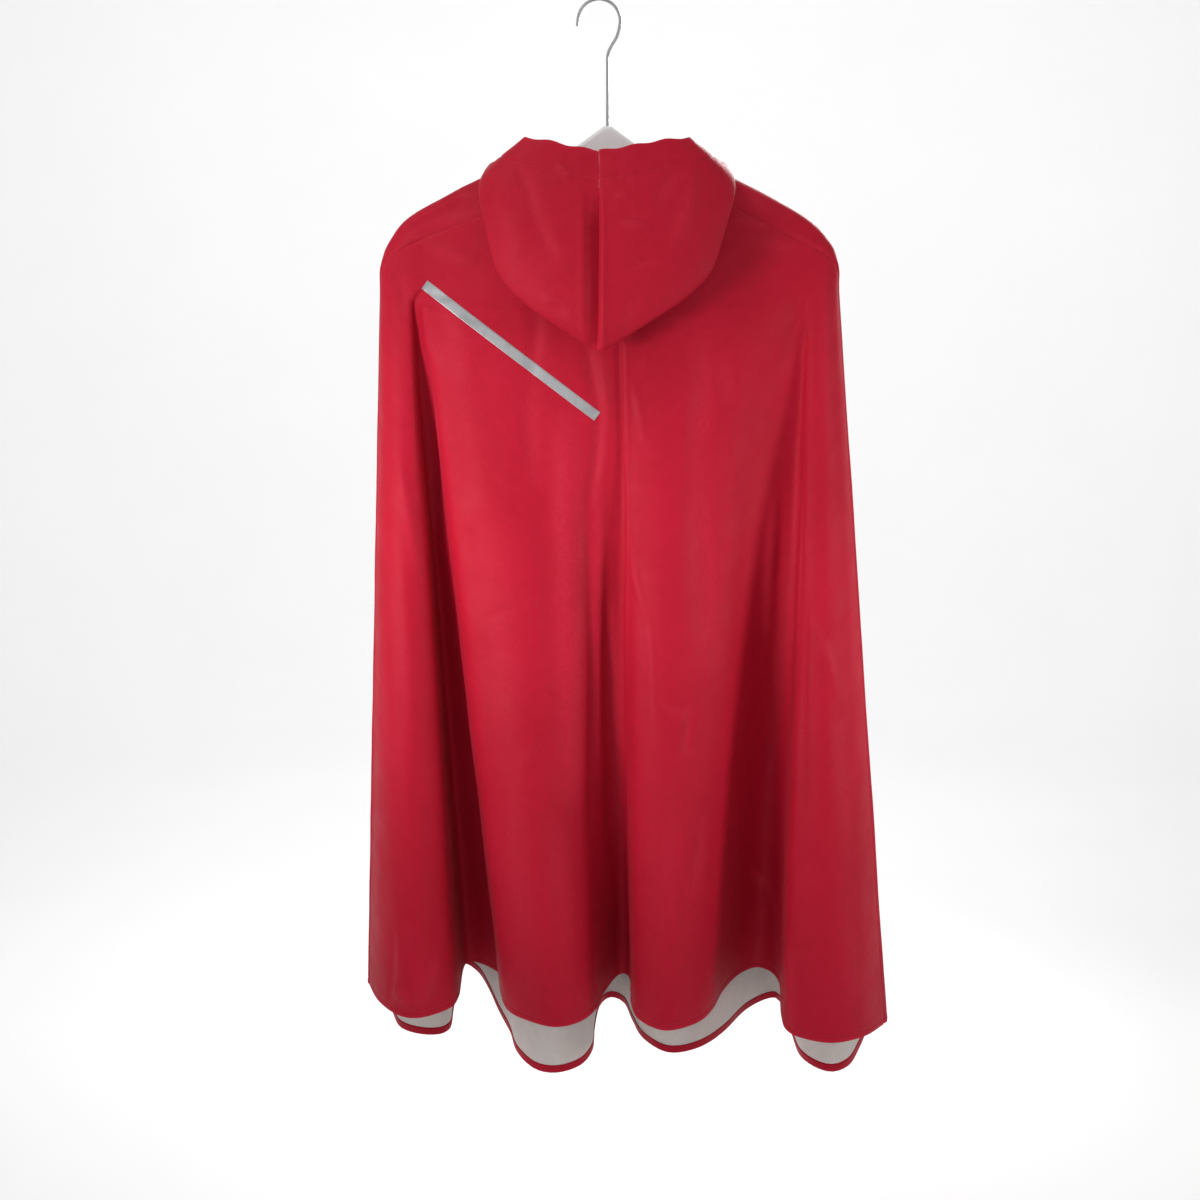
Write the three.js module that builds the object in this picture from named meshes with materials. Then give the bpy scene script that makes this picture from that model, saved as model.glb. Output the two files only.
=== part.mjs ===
// A hooded rain cape hanging on a flat hanger with a wire hook.
// Sizes are in millimetres. Z points up, the back of the cape faces -Y, its front faces +Y.
// The origin is the inside of the hook's arc at its top, where a rail carries it.
import * as THREE from 'three';

// Cloth
const CLOTH = 1.6;
const SEAM_GAP = 0.3;
const CENTRE_X = 9;

// Shoulder line over the hanger, as a height for each distance from the centre line
const RIDGE_TOP = -138.7;
const RIDGE_SLOPE = 0.186;
const RIDGE_CURVE = 0.00098;
const RIDGE_ROUND = 8;
const ARM_HEIGHT = -310;
const ARM_HALF = 250;
const BACK_SAG = 60;
const FRONT_SAG = 80;
const FRONT_START = 18;

// Rings of the cape from the neck to the shoulder. Drops and depths are from the shoulder line to
// the middle of the back and of the front, and seam columns are angles of the shoulder seams.
const YOKE_RINGS = [
  { half: 104, backDrop: 66, backDepth: 32, frontDrop: 93, frontDepth: 44, seamL: 38, seamR: 33 },
  { half: 140, backDrop: 101, backDepth: 34, frontDrop: 125, frontDepth: 44, seamL: 26, seamR: 20 },
  { half: 180, backDrop: 136, backDepth: 35.5, frontDrop: 155, frontDepth: 45, seamL: 17.4, seamR: 15.5 },
  { half: 215, backDrop: 166, backDepth: 37, frontDrop: 185, frontDepth: 46, seamL: 12.2, seamR: 11.8 },
];
// Share of the way from the shoulder ring to the arm ring, across and down
const CORNER_RINGS = [
  { across: 0.6, down: 0.21 },
  { across: 0.92, down: 0.46 },
];
// Shares of the fall from the arm ring to the hem
const FALL_RINGS = [0, 0.14, 0.28, 0.42, 0.57, 0.72, 0.86, 1];

// Folds of the cape, once round from the left shoulder seam: where the cloth stands at the arm
// and at the hem. A fold opens from "start" (a share of the fall) with "power". Columns that cross
// a shoulder also name their drop below the shoulder line, back positive and front negative.
const FOLDS = [
  // [name, zone, arm x, arm y, hem x, hem y, hem z, start, power, drop]
  ['seam_left', 'back', -237, -1, -268, 0, -1095, 0, 1],
  ['side_left', 'back', -233, -14, -252, -39, -1099, 0, 1],
  ['turn_1', 'back', -226, -22, -227, -70, -1102, 0, 1],
  ['crest_1', 'back', -217, -27, -202, -74, -1104, 0, 1],
  ['edge_1', 'back', -206, -29, -172, -52, -1103, 0, 1],
  ['wall_1', 'back', -201, -27, -163, -22, -1101, 0, 1],
  ['valley_1', 'back', -197, -21, -159, 59, -1093, 0, 0.9],
  ['rise_2a', 'back', -191, -26, -129, 36, -1096, 0, 1],
  ['rise_2b', 'back', -184, -31, -113, -4, -1100, 0, 1],
  ['rise_2c', 'back', -172, -35, -97, -52, -1105, 0, 1],
  ['turn_2', 'back', -158, -38, -78, -76, -1107, 0, 1],
  ['crest_2', 'back', -138, -41, -48, -89, -1108, 0, 1],
  ['round_2', 'back', -100, -44, -21, -76, -1107, 0, 1],
  ['fall_2a', 'back', -55, -45, -3, -45, -1105, 0, 1],
  ['fall_2b', 'back', -15, -45, 6, -10, -1101, 0.1, 1.2],
  ['valley_2', 'back', 8, -44, 16, 22, -1094, 0.22, 1.3],
  ['floor_2', 'back', 18, -44, 29, 20, -1093, 0.22, 1.3],
  ['centre_seam', 'back', 23, -46, 38, -8, -1097, 0.12, 1.2],
  ['edge_3', 'back', 28, -48, 37, -38, -1101, 0, 1],
  ['turn_3', 'back', 42, -48, 45, -75, -1105, 0, 1],
  ['crest_3', 'back', 70, -48, 73, -98, -1108, 0, 1],
  ['round_3', 'back', 110, -45, 107, -82, -1107, 0, 1],
  ['fall_3a', 'back', 145, -41, 128, -52, -1104, 0, 1],
  ['fall_3b', 'back', 172, -36, 144, -8, -1100, 0, 1],
  ['fall_3c', 'back', 195, -30, 167, 32, -1096, 0.05, 1],
  ['valley_3', 'back', 210, -25, 192, 43, -1093, 0.08, 1],
  ['edge_4', 'back', 220, -25, 211, 12, -1096, 0.05, 1],
  ['lip_4', 'back', 226, -28, 206, -66, -1105, 0, 1],
  ['turn_4', 'back', 233, -29, 214, -97, -1112, 0, 1],
  ['crest_4', 'back', 244, -26, 253, -112, -1116, 0, 1],
  ['side_4', 'back', 254, -17, 293, -95, -1117, 0, 1],
  ['seam_right', 'back', 259, -4, 324, -54, -1120, 0, 1],
  ['over_r1', 'right', 260, 5, 331, -34, -1122, 0, 1, 16],
  ['over_r2', 'right', 259, 12, 333, -16, -1128, 0, 1, 6],
  ['ridge_right', 'right', 257, 19, 333, 2, -1134, 0, 1, 0],
  ['over_r3', 'right', 253, 26, 330, 16, -1142, 0, 1, -6],
  ['over_r4', 'right', 246, 31, 320, 16, -1150, 0, 1, -16],
  ['front_4d', 'front', 234, 36, 303, -18, -1164, 0, 1],
  ['front_4c', 'front', 222, 39, 283, -62, -1167, 0, 1],
  ['front_4', 'front', 212, 41, 258, -74, -1168, 0, 1],
  ['front_4b', 'front', 205, 42, 233, -40, -1167, 0, 1],
  ['front_4a', 'front', 199, 43, 228, 22, -1163, 0, 1],
  ['front_v3b', 'front', 191, 44, 223, 94, -1158, 0, 1],
  ['front_v3a', 'front', 179, 45, 208, 102, -1158, 0, 1],
  ['front_3e', 'front', 158, 46, 177, 74, -1161, 0, 1],
  ['front_3d', 'front', 138, 48, 147, 22, -1165, 0, 1],
  ['front_3c', 'front', 112, 50, 114, -16, -1167, 0.08, 1.1],
  ['front_3', 'front', 82, 52, 80, -28, -1167, 0.08, 1.1],
  ['front_3b', 'front', 58, 53, 53, 4, -1165, 0, 1],
  ['front_3a', 'front', 42, 54, 40, 50, -1162, 0, 1],
  ['front_v2b', 'front', 28, 55, 31, 90, -1158, 0, 1],
  ['front_v2a', 'front', 14, 55, 14, 104, -1157, 0, 1],
  ['front_2f', 'front', 0, 55, 0, 80, -1158, 0, 1],
  ['front_2e', 'front', -12, 54, -6, 32, -1167, 0, 1],
  ['front_2d', 'front', -24, 53, -8, -6, -1174, 0.05, 1],
  ['front_2c', 'front', -42, 53, -22, -36, -1179, 0.08, 1.1],
  ['front_2', 'front', -64, 52, -49, -51, -1181, 0.08, 1.1],
  ['front_2b', 'front', -88, 51, -74, -42, -1180, 0.05, 1],
  ['front_2a', 'front', -110, 50, -95, -11, -1174, 0, 1],
  ['front_1h', 'front', -126, 49, -105, 26, -1168, 0, 1],
  ['front_1g', 'front', -138, 48, -120, 62, -1158, 0, 1],
  ['front_1f', 'front', -148, 47, -136, 96, -1142, 0, 1],
  ['front_v1b', 'front', -157, 46, -153, 130, -1133, 0, 1],
  ['front_v1a', 'front', -166, 45, -172, 140, -1131, 0, 1],
  ['front_1d', 'front', -175, 44, -178, 74, -1158, 0, 1],
  ['front_1c', 'front', -183, 43, -180, 28, -1165, 0, 1],
  ['front_1', 'front', -193, 42, -203, 17, -1166, 0, 1],
  ['front_1b', 'front', -204, 40, -236, 38, -1167, 0, 1],
  ['front_1a', 'front', -214, 37, -252, 74, -1162, 0, 1],
  ['over_l4', 'left', -221, 33, -263, 84, -1148, 0, 1, -16],
  ['over_l3', 'left', -228, 27, -270, 66, -1133, 0, 1, -6],
  ['ridge_left', 'left', -233, 20, -272, 47, -1120, 0, 1, 0],
  ['over_l2', 'left', -236, 13, -272, 30, -1109, 0, 1, 6],
  ['over_l1', 'left', -237, 6, -271, 14, -1101, 0, 1, 16],
];
const COLUMN = new Map(FOLDS.map((fold, i) => [fold[0], i]));
const ARM_RING = YOKE_RINGS.length + CORNER_RINGS.length;
const RINGS = ARM_RING + FALL_RINGS.length;

// Hood, half of it from the throat in front round the neck to the middle of the back. Widths are
// from the hood's centre line, "face" is the way the cloth looks (0 back, 90 side, 180 front).
const HOOD_CENTRE_BACK = 0;
const HOOD = [
  // rim: w, y, z   fold: w, y, z   under: w, y, z   face, belly, neck angle, roll
  { rim: [0, 60, -204], fold: [0, 66, -213], under: [0, 63, -221], face: 180, belly: 1, neck: -90, roll: 0 },
  { rim: [36, 57, -196], fold: [47, 64, -211], under: [46, 61, -220], face: 160, belly: 2, neck: -64, roll: 0 },
  { rim: [62, 38, -176], fold: [90, 44, -197], under: [88, 41, -204], face: 130, belly: 4, neck: -36, roll: 0.2 },
  { rim: [72, 24, -163], fold: [112, 29, -180], under: [106, 27, -184], face: 112, belly: 5, neck: -17, roll: 0.4 },
  { rim: [78, 6, -154], fold: [122, 4, -166], under: [114, 2, -169.3], face: 95, belly: 5, neck: 0, roll: 0.7 },
  { rim: [85, -28, -147], fold: [130, -40, -184], under: [118, -34, -183], face: 75, belly: 8, neck: 22, roll: 1 },
  { rim: [85, -54, -146], fold: [131, -76, -204], under: [119, -60, -202], face: 60, belly: 10, neck: 38, roll: 1 },
  { rim: [76, -63, -147], fold: [123, -88, -238], under: [110, -70, -232], face: 40, belly: 12, neck: 50, roll: 1 },
  { rim: [61, -67, -149], fold: [112, -92, -278], under: [98, -72, -270], face: 25, belly: 14, neck: 60, roll: 1 },
  { rim: [45, -69, -152], fold: [92, -93, -303], under: [80, -73, -294], face: 15, belly: 16, neck: 68, roll: 1 },
  { rim: [26, -71, -156], fold: [50, -91, -333], under: [44, -72, -323], face: 6, belly: 18, neck: 78, roll: 1 },
  { rim: [0, -72, -160], fold: [0, -87, -364], under: [0, -69, -352], face: 0, belly: 18, neck: 90, roll: 1 },
];
// The hood's centre line leans from the hanger's middle at the neck to its own at the back
const HOOD_LEAN = [1, 1, 1, 1, 1, 1, 0.9, 0.75, 0.6, 0.4, 0.2, 0];
const NECK_SEAM = 1.4;
const NECK_RISE = 1.4;

// Reflective strip across the left half of the back, from its upper to its lower end
const STRIP_FROM = { x: -186, z: -294 };
const STRIP_TO = { x: -2, z: -433 };
const STRIP_WIDTH = 11;
const STRIP_THICKNESS = 1.0;
const STRIP_STEPS = 32;
const STRIP_CLEAR = 0.5;

// Hanger and its wire hook
const HANGER_HALF_THICKNESS = 5.5;
const HANGER_EDGE = 4;
const HANGER_REACH = 206;
const HANGER_BELOW_RIDGE = 3.5;
const HANGER_TOP = -128;
const HANGER_NECK_HALF = 35;
const HANGER_DEEP_MIDDLE = 34;
const HANGER_DEEP_END = 22;
const WIRE_RADIUS = 1.6;
const HOOK_RADIUS = 22.4;

const radians = (degrees) => (degrees * Math.PI) / 180;
const mix = (a, b, t) => a + (b - a) * t;

function ridgeHeight(fromCentre) {
  const r = Math.abs(fromCentre);
  return RIDGE_TOP - RIDGE_SLOPE * r - RIDGE_CURVE * r * r;
}

// A point of the upper cape: the cloth rounds the hanger, then falls, standing off further
// towards the middle. Angle 0 is the left ridge, 90 the back, 180 the right ridge, 270 the front.
function yokePoint(ring, angle) {
  const side = Math.sin(radians(angle));
  const back = side >= 0;
  const share = Math.abs(side);
  const drop = (back ? ring.backDrop : ring.frontDrop) * share ** 1.1;
  const depth = (back ? ring.backDepth : ring.frontDepth) * share;
  const capped = Math.min(drop, RIDGE_ROUND);
  const round = Math.sqrt(2 * RIDGE_ROUND * capped - capped * capped);
  const across = -ring.half * Math.cos(radians(angle));
  const out = round + depth;
  return [CENTRE_X + across, back ? -out : out, ridgeHeight(across) - drop];
}

function angleForDrop(ring, drop) {
  const full = drop >= 0 ? ring.backDrop : ring.frontDrop;
  return (Math.asin((Math.abs(drop) / full) ** (1 / 1.1)) * 180) / Math.PI;
}

function foldAngle(ring, fold) {
  const [, zone, armX] = fold;
  if (zone === 'left' || zone === 'right') {
    const drop = fold[9];
    const angle = angleForDrop(ring, drop) * Math.sign(drop);
    return zone === 'right' ? 180 - angle : angle;
  }
  const across = Math.min(1, Math.max(-1, (armX - CENTRE_X) / ARM_HALF));
  const shoulder = YOKE_RINGS[YOKE_RINGS.length - 1];
  const turned = (Math.acos(-across) * 180) / Math.PI;
  if (zone === 'back') {
    const share = (turned - shoulder.seamL) / (180 - shoulder.seamL - shoulder.seamR);
    return mix(ring.seamL, 180 - ring.seamR, Math.min(1, Math.max(0, share)));
  }
  const outer = angleForDrop(shoulder, -FRONT_START);
  const inner = angleForDrop(ring, -FRONT_START);
  const share = (180 - turned - outer) / (180 - 2 * outer);
  return mix(180 + inner, 360 - inner, share);
}

function armPoint(fold) {
  const [, zone, x, y] = fold;
  const across = (x - CENTRE_X) / ARM_HALF;
  const sag = zone === 'front' ? FRONT_SAG : BACK_SAG;
  return [x, y, ARM_HEIGHT - sag * Math.max(0, 1 - across * across)];
}

// The net of the cape: one row per ring, one column per fold
function capeNet() {
  const rows = YOKE_RINGS.map((ring) => FOLDS.map((fold) => yokePoint(ring, foldAngle(ring, fold))));
  const shoulder = rows[rows.length - 1];
  for (const ring of CORNER_RINGS) {
    rows.push(FOLDS.map((fold, i) => {
      const arm = armPoint(fold);
      return [
        mix(shoulder[i][0], arm[0], ring.across),
        mix(shoulder[i][1], arm[1], ring.down),
        mix(shoulder[i][2], arm[2], ring.down),
      ];
    }));
  }
  for (const fall of FALL_RINGS) {
    rows.push(FOLDS.map((fold) => {
      const [, , , , hemX, hemY, hemZ, start, power] = fold;
      const arm = armPoint(fold);
      const open = fall <= start ? 0 : ((fall - start) / (1 - start)) ** power;
      return [mix(arm[0], hemX, fall), mix(arm[1], hemY, open), mix(arm[2], hemZ, fall)];
    }));
  }
  return rows;
}

// Smooth curve through four neighbours, at t between the middle two
function curve(a, b, c, d, t) {
  return 0.5 * (2 * b + (c - a) * t + (2 * a - 5 * b + 4 * c - d) * t * t + (3 * b - a - 3 * c + d) * t * t * t);
}

// A point on a net. Rows end in a straight run, columns may close into a ring.
function netPoint(net, column, row, closed) {
  const rowCount = net.length;
  const columnCount = net[0].length;
  const j = Math.min(Math.floor(row), rowCount - 2);
  const i = closed ? Math.floor(column) : Math.min(Math.floor(column), columnCount - 2);
  const at = (jj, ii) => {
    const wrap = closed ? ((ii % columnCount) + columnCount) % columnCount : ii;
    if (!closed && wrap < 0) return net[jj][0].map((value, k) => 2 * value - net[jj][1][k]);
    if (!closed && wrap >= columnCount) {
      return net[jj][columnCount - 1].map((value, k) => 2 * value - net[jj][columnCount - 2][k]);
    }
    return net[jj][wrap];
  };
  const across = (jj) => {
    const four = [at(jj, i - 1), at(jj, i), at(jj, i + 1), at(jj, i + 2)];
    return [0, 1, 2].map((k) => curve(four[0][k], four[1][k], four[2][k], four[3][k], column - i));
  };
  const b = across(j);
  const c = across(j + 1);
  const a = j > 0 ? across(j - 1) : b.map((value, k) => 2 * value - c[k]);
  const d = j < rowCount - 2 ? across(j + 2) : c.map((value, k) => 2 * value - b[k]);
  return new THREE.Vector3(...[0, 1, 2].map((k) => curve(a[k], b[k], c[k], d[k], row - j)));
}

// A closed cloth wall from a grid of middle points: outer side, inner side and four edges.
// Seams leave half the gap each side. A hood half meets its neighbour on an upright plane.
function clothSolid(columns, rows, pointAt, inner, outer, seams) {
  const width = columns.length;
  const height = rows.length;
  const middle = [];
  const normals = [];
  const step = 0.02;
  for (let j = 0; j < height; j += 1) {
    for (let i = 0; i < width; i += 1) {
      const point = pointAt(columns[i], rows[j]);
      const above = j === 0 ? rows[0] : rows[j] - step;
      const below = j === height - 1 ? rows[j] : rows[j] + step;
      const atLeft = i === 0;
      const atRight = i === width - 1;
      const left = atLeft && seams !== 'shared' ? columns[0] : columns[i] - step;
      const right = atRight && seams !== 'shared' ? columns[i] : columns[i] + step;
      const along = pointAt(right, rows[j]).sub(pointAt(left, rows[j])).normalize();
      const down = pointAt(columns[i], below).sub(pointAt(columns[i], above)).normalize();
      const normal = down.clone().cross(along).normalize();
      if ((atLeft || atRight) && seams === 'upright') {
        normal.setX(0).normalize();
        along.set(Math.sign(along.x), 0, 0);
      }
      if (seams && atLeft) point.addScaledVector(along, SEAM_GAP / 2);
      if (seams && atRight) point.addScaledVector(along, -SEAM_GAP / 2);
      middle.push(point);
      normals.push(normal);
    }
  }
  const positions = [];
  for (const offset of [outer, inner]) {
    middle.forEach((point, k) => {
      const moved = point.clone().addScaledVector(normals[k], offset);
      positions.push(moved.x, moved.y, moved.z);
    });
  }
  const count = width * height;
  const index = [];
  const quad = (a, b, c, d) => index.push(a, b, c, a, c, d);
  for (let j = 0; j < height - 1; j += 1) {
    for (let i = 0; i < width - 1; i += 1) {
      const k = j * width + i;
      quad(k, k + width, k + width + 1, k + 1);
      quad(count + k, count + k + 1, count + k + width + 1, count + k + width);
    }
  }
  for (let i = 0; i < width - 1; i += 1) {
    const low = (height - 1) * width + i;
    quad(i, i + 1, count + i + 1, count + i);
    quad(low, count + low, count + low + 1, low + 1);
  }
  for (let j = 0; j < height - 1; j += 1) {
    const k = j * width;
    const right = k + width - 1;
    quad(k, count + k, count + k + width, k + width);
    quad(right, right + width, count + right + width, count + right);
  }
  const geometry = new THREE.BufferGeometry();
  geometry.setAttribute('position', new THREE.Float32BufferAttribute(positions, 3));
  geometry.setIndex(index);
  geometry.computeVertexNormals();
  return geometry;
}

const capeRows = capeNet();

// Columns from one fold to another, once round if need be
function foldColumns(from, to) {
  const first = COLUMN.get(from);
  const last = COLUMN.get(to) > first ? COLUMN.get(to) : COLUMN.get(to) + FOLDS.length;
  return Array.from({ length: last - first + 1 }, (_, i) => first + i);
}

function ringRows() {
  const rows = [];
  for (let j = 0; j < RINGS - 1; j += 1) {
    rows.push(j);
    if (j < ARM_RING) rows.push(j + 0.5);
  }
  rows.push(RINGS - 1);
  return rows;
}

const capeAt = (column, row) => netPoint(capeRows, column, row, true);

function capePanel(from, to) {
  return clothSolid(foldColumns(from, to), ringRows(), capeAt, -CLOTH / 2, CLOTH / 2, 'shared');
}

// A value of the hood's table between two of its rows
function hoodValue(pick, at) {
  const last = HOOD.length - 1;
  const i = Math.min(Math.floor(at), last - 1);
  const four = [i - 1, i, i + 1, i + 2].map((k) => pick(Math.min(last, Math.max(0, k))));
  return curve(four[0], four[1], four[2], four[3], at - i);
}

// One strand of hood cloth: from the rim down its outer face, round the fold, up underneath and
// over a small roll into the neck seam.
function hoodStrand(side, at) {
  const value = (key, k) => hoodValue((i) => HOOD[i][key][k], at);
  const number = (key) => hoodValue((i) => HOOD[i][key], at);
  const centre = mix(HOOD_CENTRE_BACK, CENTRE_X, hoodValue((i) => HOOD_LEAN[i], at));
  const place = (key) => [centre + side * value(key, 0), value(key, 1), value(key, 2)];
  const rim = place('rim');
  const fold = place('fold');
  const under = place('under');
  const turn = radians(number('face'));
  const face = [side * Math.sin(turn), -Math.cos(turn), 0];
  const belly = number('belly');
  const roll = number('roll');
  const between = (a, b, t, out) => a.map((from, k) => mix(from, b[k], t) + face[k] * out);
  const neckAngle = number('neck');
  const turned = side < 0 ? neckAngle : 180 - neckAngle;
  const edge = new THREE.Vector3(...yokePoint(YOKE_RINGS[0], turned));
  const below = new THREE.Vector3(...yokePoint(YOKE_RINGS[1], turned));
  const neck = edge.clone().addScaledVector(edge.clone().sub(below).normalize(), NECK_SEAM).toArray();
  neck[2] += NECK_RISE;
  if (at === 0 || at === HOOD.length - 1) neck[0] = centre;
  const off = (out, up) => [neck[0] + face[0] * out, neck[1] + face[1] * out, neck[2] + up];
  return [
    rim,
    between(rim, fold, 0.28, belly * 0.7),
    between(rim, fold, 0.58, belly),
    between(rim, fold, 0.86, belly * 0.7),
    fold,
    under,
    between(under, off(2 + 8 * roll, 5 - 4 * roll), 0.5, 0.1 * belly),
    off(2 + 8 * roll, 5 - 4 * roll),
    off(1 + 3.5 * roll, 3 + 4 * roll),
    neck,
  ];
}

function hoodHalf(side) {
  const last = HOOD.length - 1;
  const columns = [];
  for (let i = 0; i < last; i += 1) {
    columns.push(i, i + 0.5);
  }
  columns.push(last);
  columns.sort((a, b) => a - b);
  const rows = [0, 0.5, 1, 1.5, 2, 2.5, 3, 3.5, 4, 4.5, 5, 6, 7, 8, 9];
  const strands = new Map();
  const strandAt = (at) => {
    const key = at.toFixed(4);
    if (!strands.has(key)) strands.set(key, hoodStrand(side, at).map((point) => [point]));
    return strands.get(key);
  };
  const at = (column, row) => netPoint(strandAt(side < 0 ? column : last - column), 0, row, true);
  const placed = side < 0 ? columns : columns.map((column) => last - column).reverse();
  return clothSolid(placed, rows, at, -CLOTH / 2, CLOTH / 2, 'upright');
}

// The panel's facet at a place on the back, so that the strip lies on flat facets as they are
function facetPoint(columns, rows, column, row) {
  const i = columns.findLastIndex((value) => value <= column);
  const j = rows.findLastIndex((value) => value <= row);
  const s = (column - columns[i]) / (columns[i + 1] - columns[i]);
  const t = (row - rows[j]) / (rows[j + 1] - rows[j]);
  const a = capeAt(columns[i], rows[j]);
  const b = capeAt(columns[i], rows[j + 1]);
  const c = capeAt(columns[i + 1], rows[j + 1]);
  const d = capeAt(columns[i + 1], rows[j]);
  if (t > s) {
    return a.clone().addScaledVector(b.clone().sub(a), t).addScaledVector(c.sub(b), s);
  }
  return a.clone().addScaledVector(d.clone().sub(a), s).addScaledVector(c.sub(d), t);
}

// Where the back's facets pass through a given x and z, found by small steps from under the hood
function backPointAt(columns, rows, x, z) {
  let column = COLUMN.get('round_2');
  let row = ARM_RING;
  let found = facetPoint(columns, rows, column, row);
  for (let pass = 0; pass < 80; pass += 1) {
    const p = capeAt(column, row);
    const du = capeAt(column + 0.01, row).sub(p).multiplyScalar(100);
    const dv = capeAt(column, row + 0.01).sub(p).multiplyScalar(100);
    const det = du.x * dv.z - dv.x * du.z;
    const ex = x - found.x;
    const ez = z - found.z;
    column += Math.max(-1, Math.min(1, (0.5 * (ex * dv.z - dv.x * ez)) / det));
    row += Math.max(-1, Math.min(1, (0.5 * (du.x * ez - ex * du.z)) / det));
    column = Math.max(0.05, Math.min(columns[columns.length - 1] - 0.05, column));
    row = Math.max(0.05, Math.min(RINGS - 1.05, row));
    found = facetPoint(columns, rows, column, row);
  }
  return found;
}

function reflectiveStrip() {
  const columns = foldColumns('seam_left', 'centre_seam');
  const rows = ringRows();
  const run = new THREE.Vector2(STRIP_TO.x - STRIP_FROM.x, STRIP_TO.z - STRIP_FROM.z);
  const across = new THREE.Vector2(-run.y, run.x).normalize();
  const along = [];
  for (let i = 0; i <= STRIP_STEPS; i += 1) along.push(i / STRIP_STEPS);
  const at = (t, w) => {
    const shift = (0.5 - w) * STRIP_WIDTH;
    const x = STRIP_FROM.x + run.x * t + across.x * shift;
    const z = STRIP_FROM.z + run.y * t + across.y * shift;
    return backPointAt(columns, rows, x, z);
  };
  const foot = CLOTH / 2 + STRIP_CLEAR;
  return clothSolid(along, [0, 0.5, 1], at, foot, foot + STRIP_THICKNESS);
}

// A flat hanger: its top follows the shoulder line just below the cloth
function hangerSolid() {
  const top = (r) => {
    const onRidge = ridgeHeight(r) - HANGER_BELOW_RIDGE;
    if (Math.abs(r) >= HANGER_NECK_HALF) return onRidge;
    const foot = ridgeHeight(HANGER_NECK_HALF) - HANGER_BELOW_RIDGE;
    const share = Math.min(1, Math.max(0, (Math.abs(r) - 4) / (HANGER_NECK_HALF - 4)));
    return mix(HANGER_TOP, foot, share);
  };
  const depth = (r) => mix(HANGER_DEEP_MIDDLE, HANGER_DEEP_END, Math.min(1, Math.abs(r) / HANGER_REACH));
  const shape = new THREE.Shape();
  const upper = [-196, -160, -120, -80, -35, -18, -4, 4, 18, 35, 80, 120, 160, 196];
  const lower = [180, 140, 100, 60, 25, 0, -25, -60, -100, -140, -180];
  upper.forEach((r, i) => (i === 0 ? shape.moveTo(r, top(r)) : shape.lineTo(r, top(r))));
  const endMid = top(196) - 11;
  shape.quadraticCurveTo(HANGER_REACH + 2, top(204), HANGER_REACH, endMid - 6);
  shape.quadraticCurveTo(HANGER_REACH - 3, top(196) - HANGER_DEEP_END - 4, 190, top(190) - HANGER_DEEP_END);
  lower.forEach((r) => shape.lineTo(r, top(Math.abs(r) < 35 ? 35 : r) - depth(r) + (Math.abs(r) < 35 ? 2 : 0)));
  shape.lineTo(-190, top(190) - HANGER_DEEP_END);
  shape.quadraticCurveTo(-HANGER_REACH + 3, top(196) - HANGER_DEEP_END - 4, -HANGER_REACH, endMid - 6);
  shape.quadraticCurveTo(-HANGER_REACH - 2, top(204), -196, top(196));
  const flat = 2 * (HANGER_HALF_THICKNESS - HANGER_EDGE);
  const geometry = new THREE.ExtrudeGeometry(shape, {
    depth: flat,
    bevelEnabled: true,
    bevelThickness: HANGER_EDGE,
    bevelSize: HANGER_EDGE,
    bevelOffset: -HANGER_EDGE,
    bevelSegments: 3,
    curveSegments: 4,
  });
  // The outline was drawn in x and z, so the extrusion is stood up and centred on y = 0
  geometry.translate(0, 0, -flat / 2);
  geometry.rotateX(Math.PI / 2);
  geometry.translate(CENTRE_X, 0, 0);
  return geometry;
}

function hookSolid() {
  const middle = -HOOK_RADIUS + WIRE_RADIUS;
  const points = [new THREE.Vector3(-HOOK_RADIUS - 0.4, 0, middle - 5)];
  for (let degrees = 180; degrees >= -15; degrees -= 15) {
    const a = radians(degrees);
    points.push(new THREE.Vector3(HOOK_RADIUS * Math.cos(a), 0, middle + HOOK_RADIUS * Math.sin(a)));
  }
  points.push(new THREE.Vector3(18.6, 0, -37));
  points.push(new THREE.Vector3(13, 0, -46));
  points.push(new THREE.Vector3(9.4, 0, -54));
  points.push(new THREE.Vector3(CENTRE_X, 0, -66));
  points.push(new THREE.Vector3(CENTRE_X, 0, -96));
  points.push(new THREE.Vector3(CENTRE_X, 0, HANGER_TOP + SEAM_GAP));
  const path = new THREE.CatmullRomCurve3(points, false, 'centripetal');
  const circle = new THREE.Shape();
  circle.absarc(0, 0, WIRE_RADIUS, 0, 2 * Math.PI, false);
  return new THREE.ExtrudeGeometry(circle, { steps: 44, curveSegments: 6, extrudePath: path, bevelEnabled: false });
}

function weld(geometry) {
  const loose = geometry.index ? geometry.toNonIndexed() : geometry;
  const source = loose.getAttribute('position');
  const seen = new Map();
  const positions = [];
  const index = [];
  for (let k = 0; k < source.count; k += 1) {
    const x = source.getX(k);
    const y = source.getY(k);
    const z = source.getZ(k);
    const key = [x, y, z].map((value) => Math.round(value * 2000)).join(',');
    if (!seen.has(key)) {
      seen.set(key, positions.length / 3);
      positions.push(x, y, z);
    }
    index.push(seen.get(key));
  }
  const kept = [];
  for (let k = 0; k < index.length; k += 3) {
    const [a, b, c] = [index[k], index[k + 1], index[k + 2]];
    if (a !== b && b !== c && a !== c) kept.push(a, b, c);
  }
  const welded = new THREE.BufferGeometry();
  welded.setAttribute('position', new THREE.Float32BufferAttribute(positions, 3));
  welded.setIndex(kept);
  welded.computeVertexNormals();
  return welded;
}

const RED = 0xd52742;
const part = new THREE.Group();
part.name = 'raincoat';

function add(name, geometry, colour, roughness) {
  const material = new THREE.MeshStandardMaterial({ color: colour, roughness });
  material.name = name;
  const mesh = new THREE.Mesh(geometry, material);
  mesh.name = name;
  part.add(mesh);
}

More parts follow.
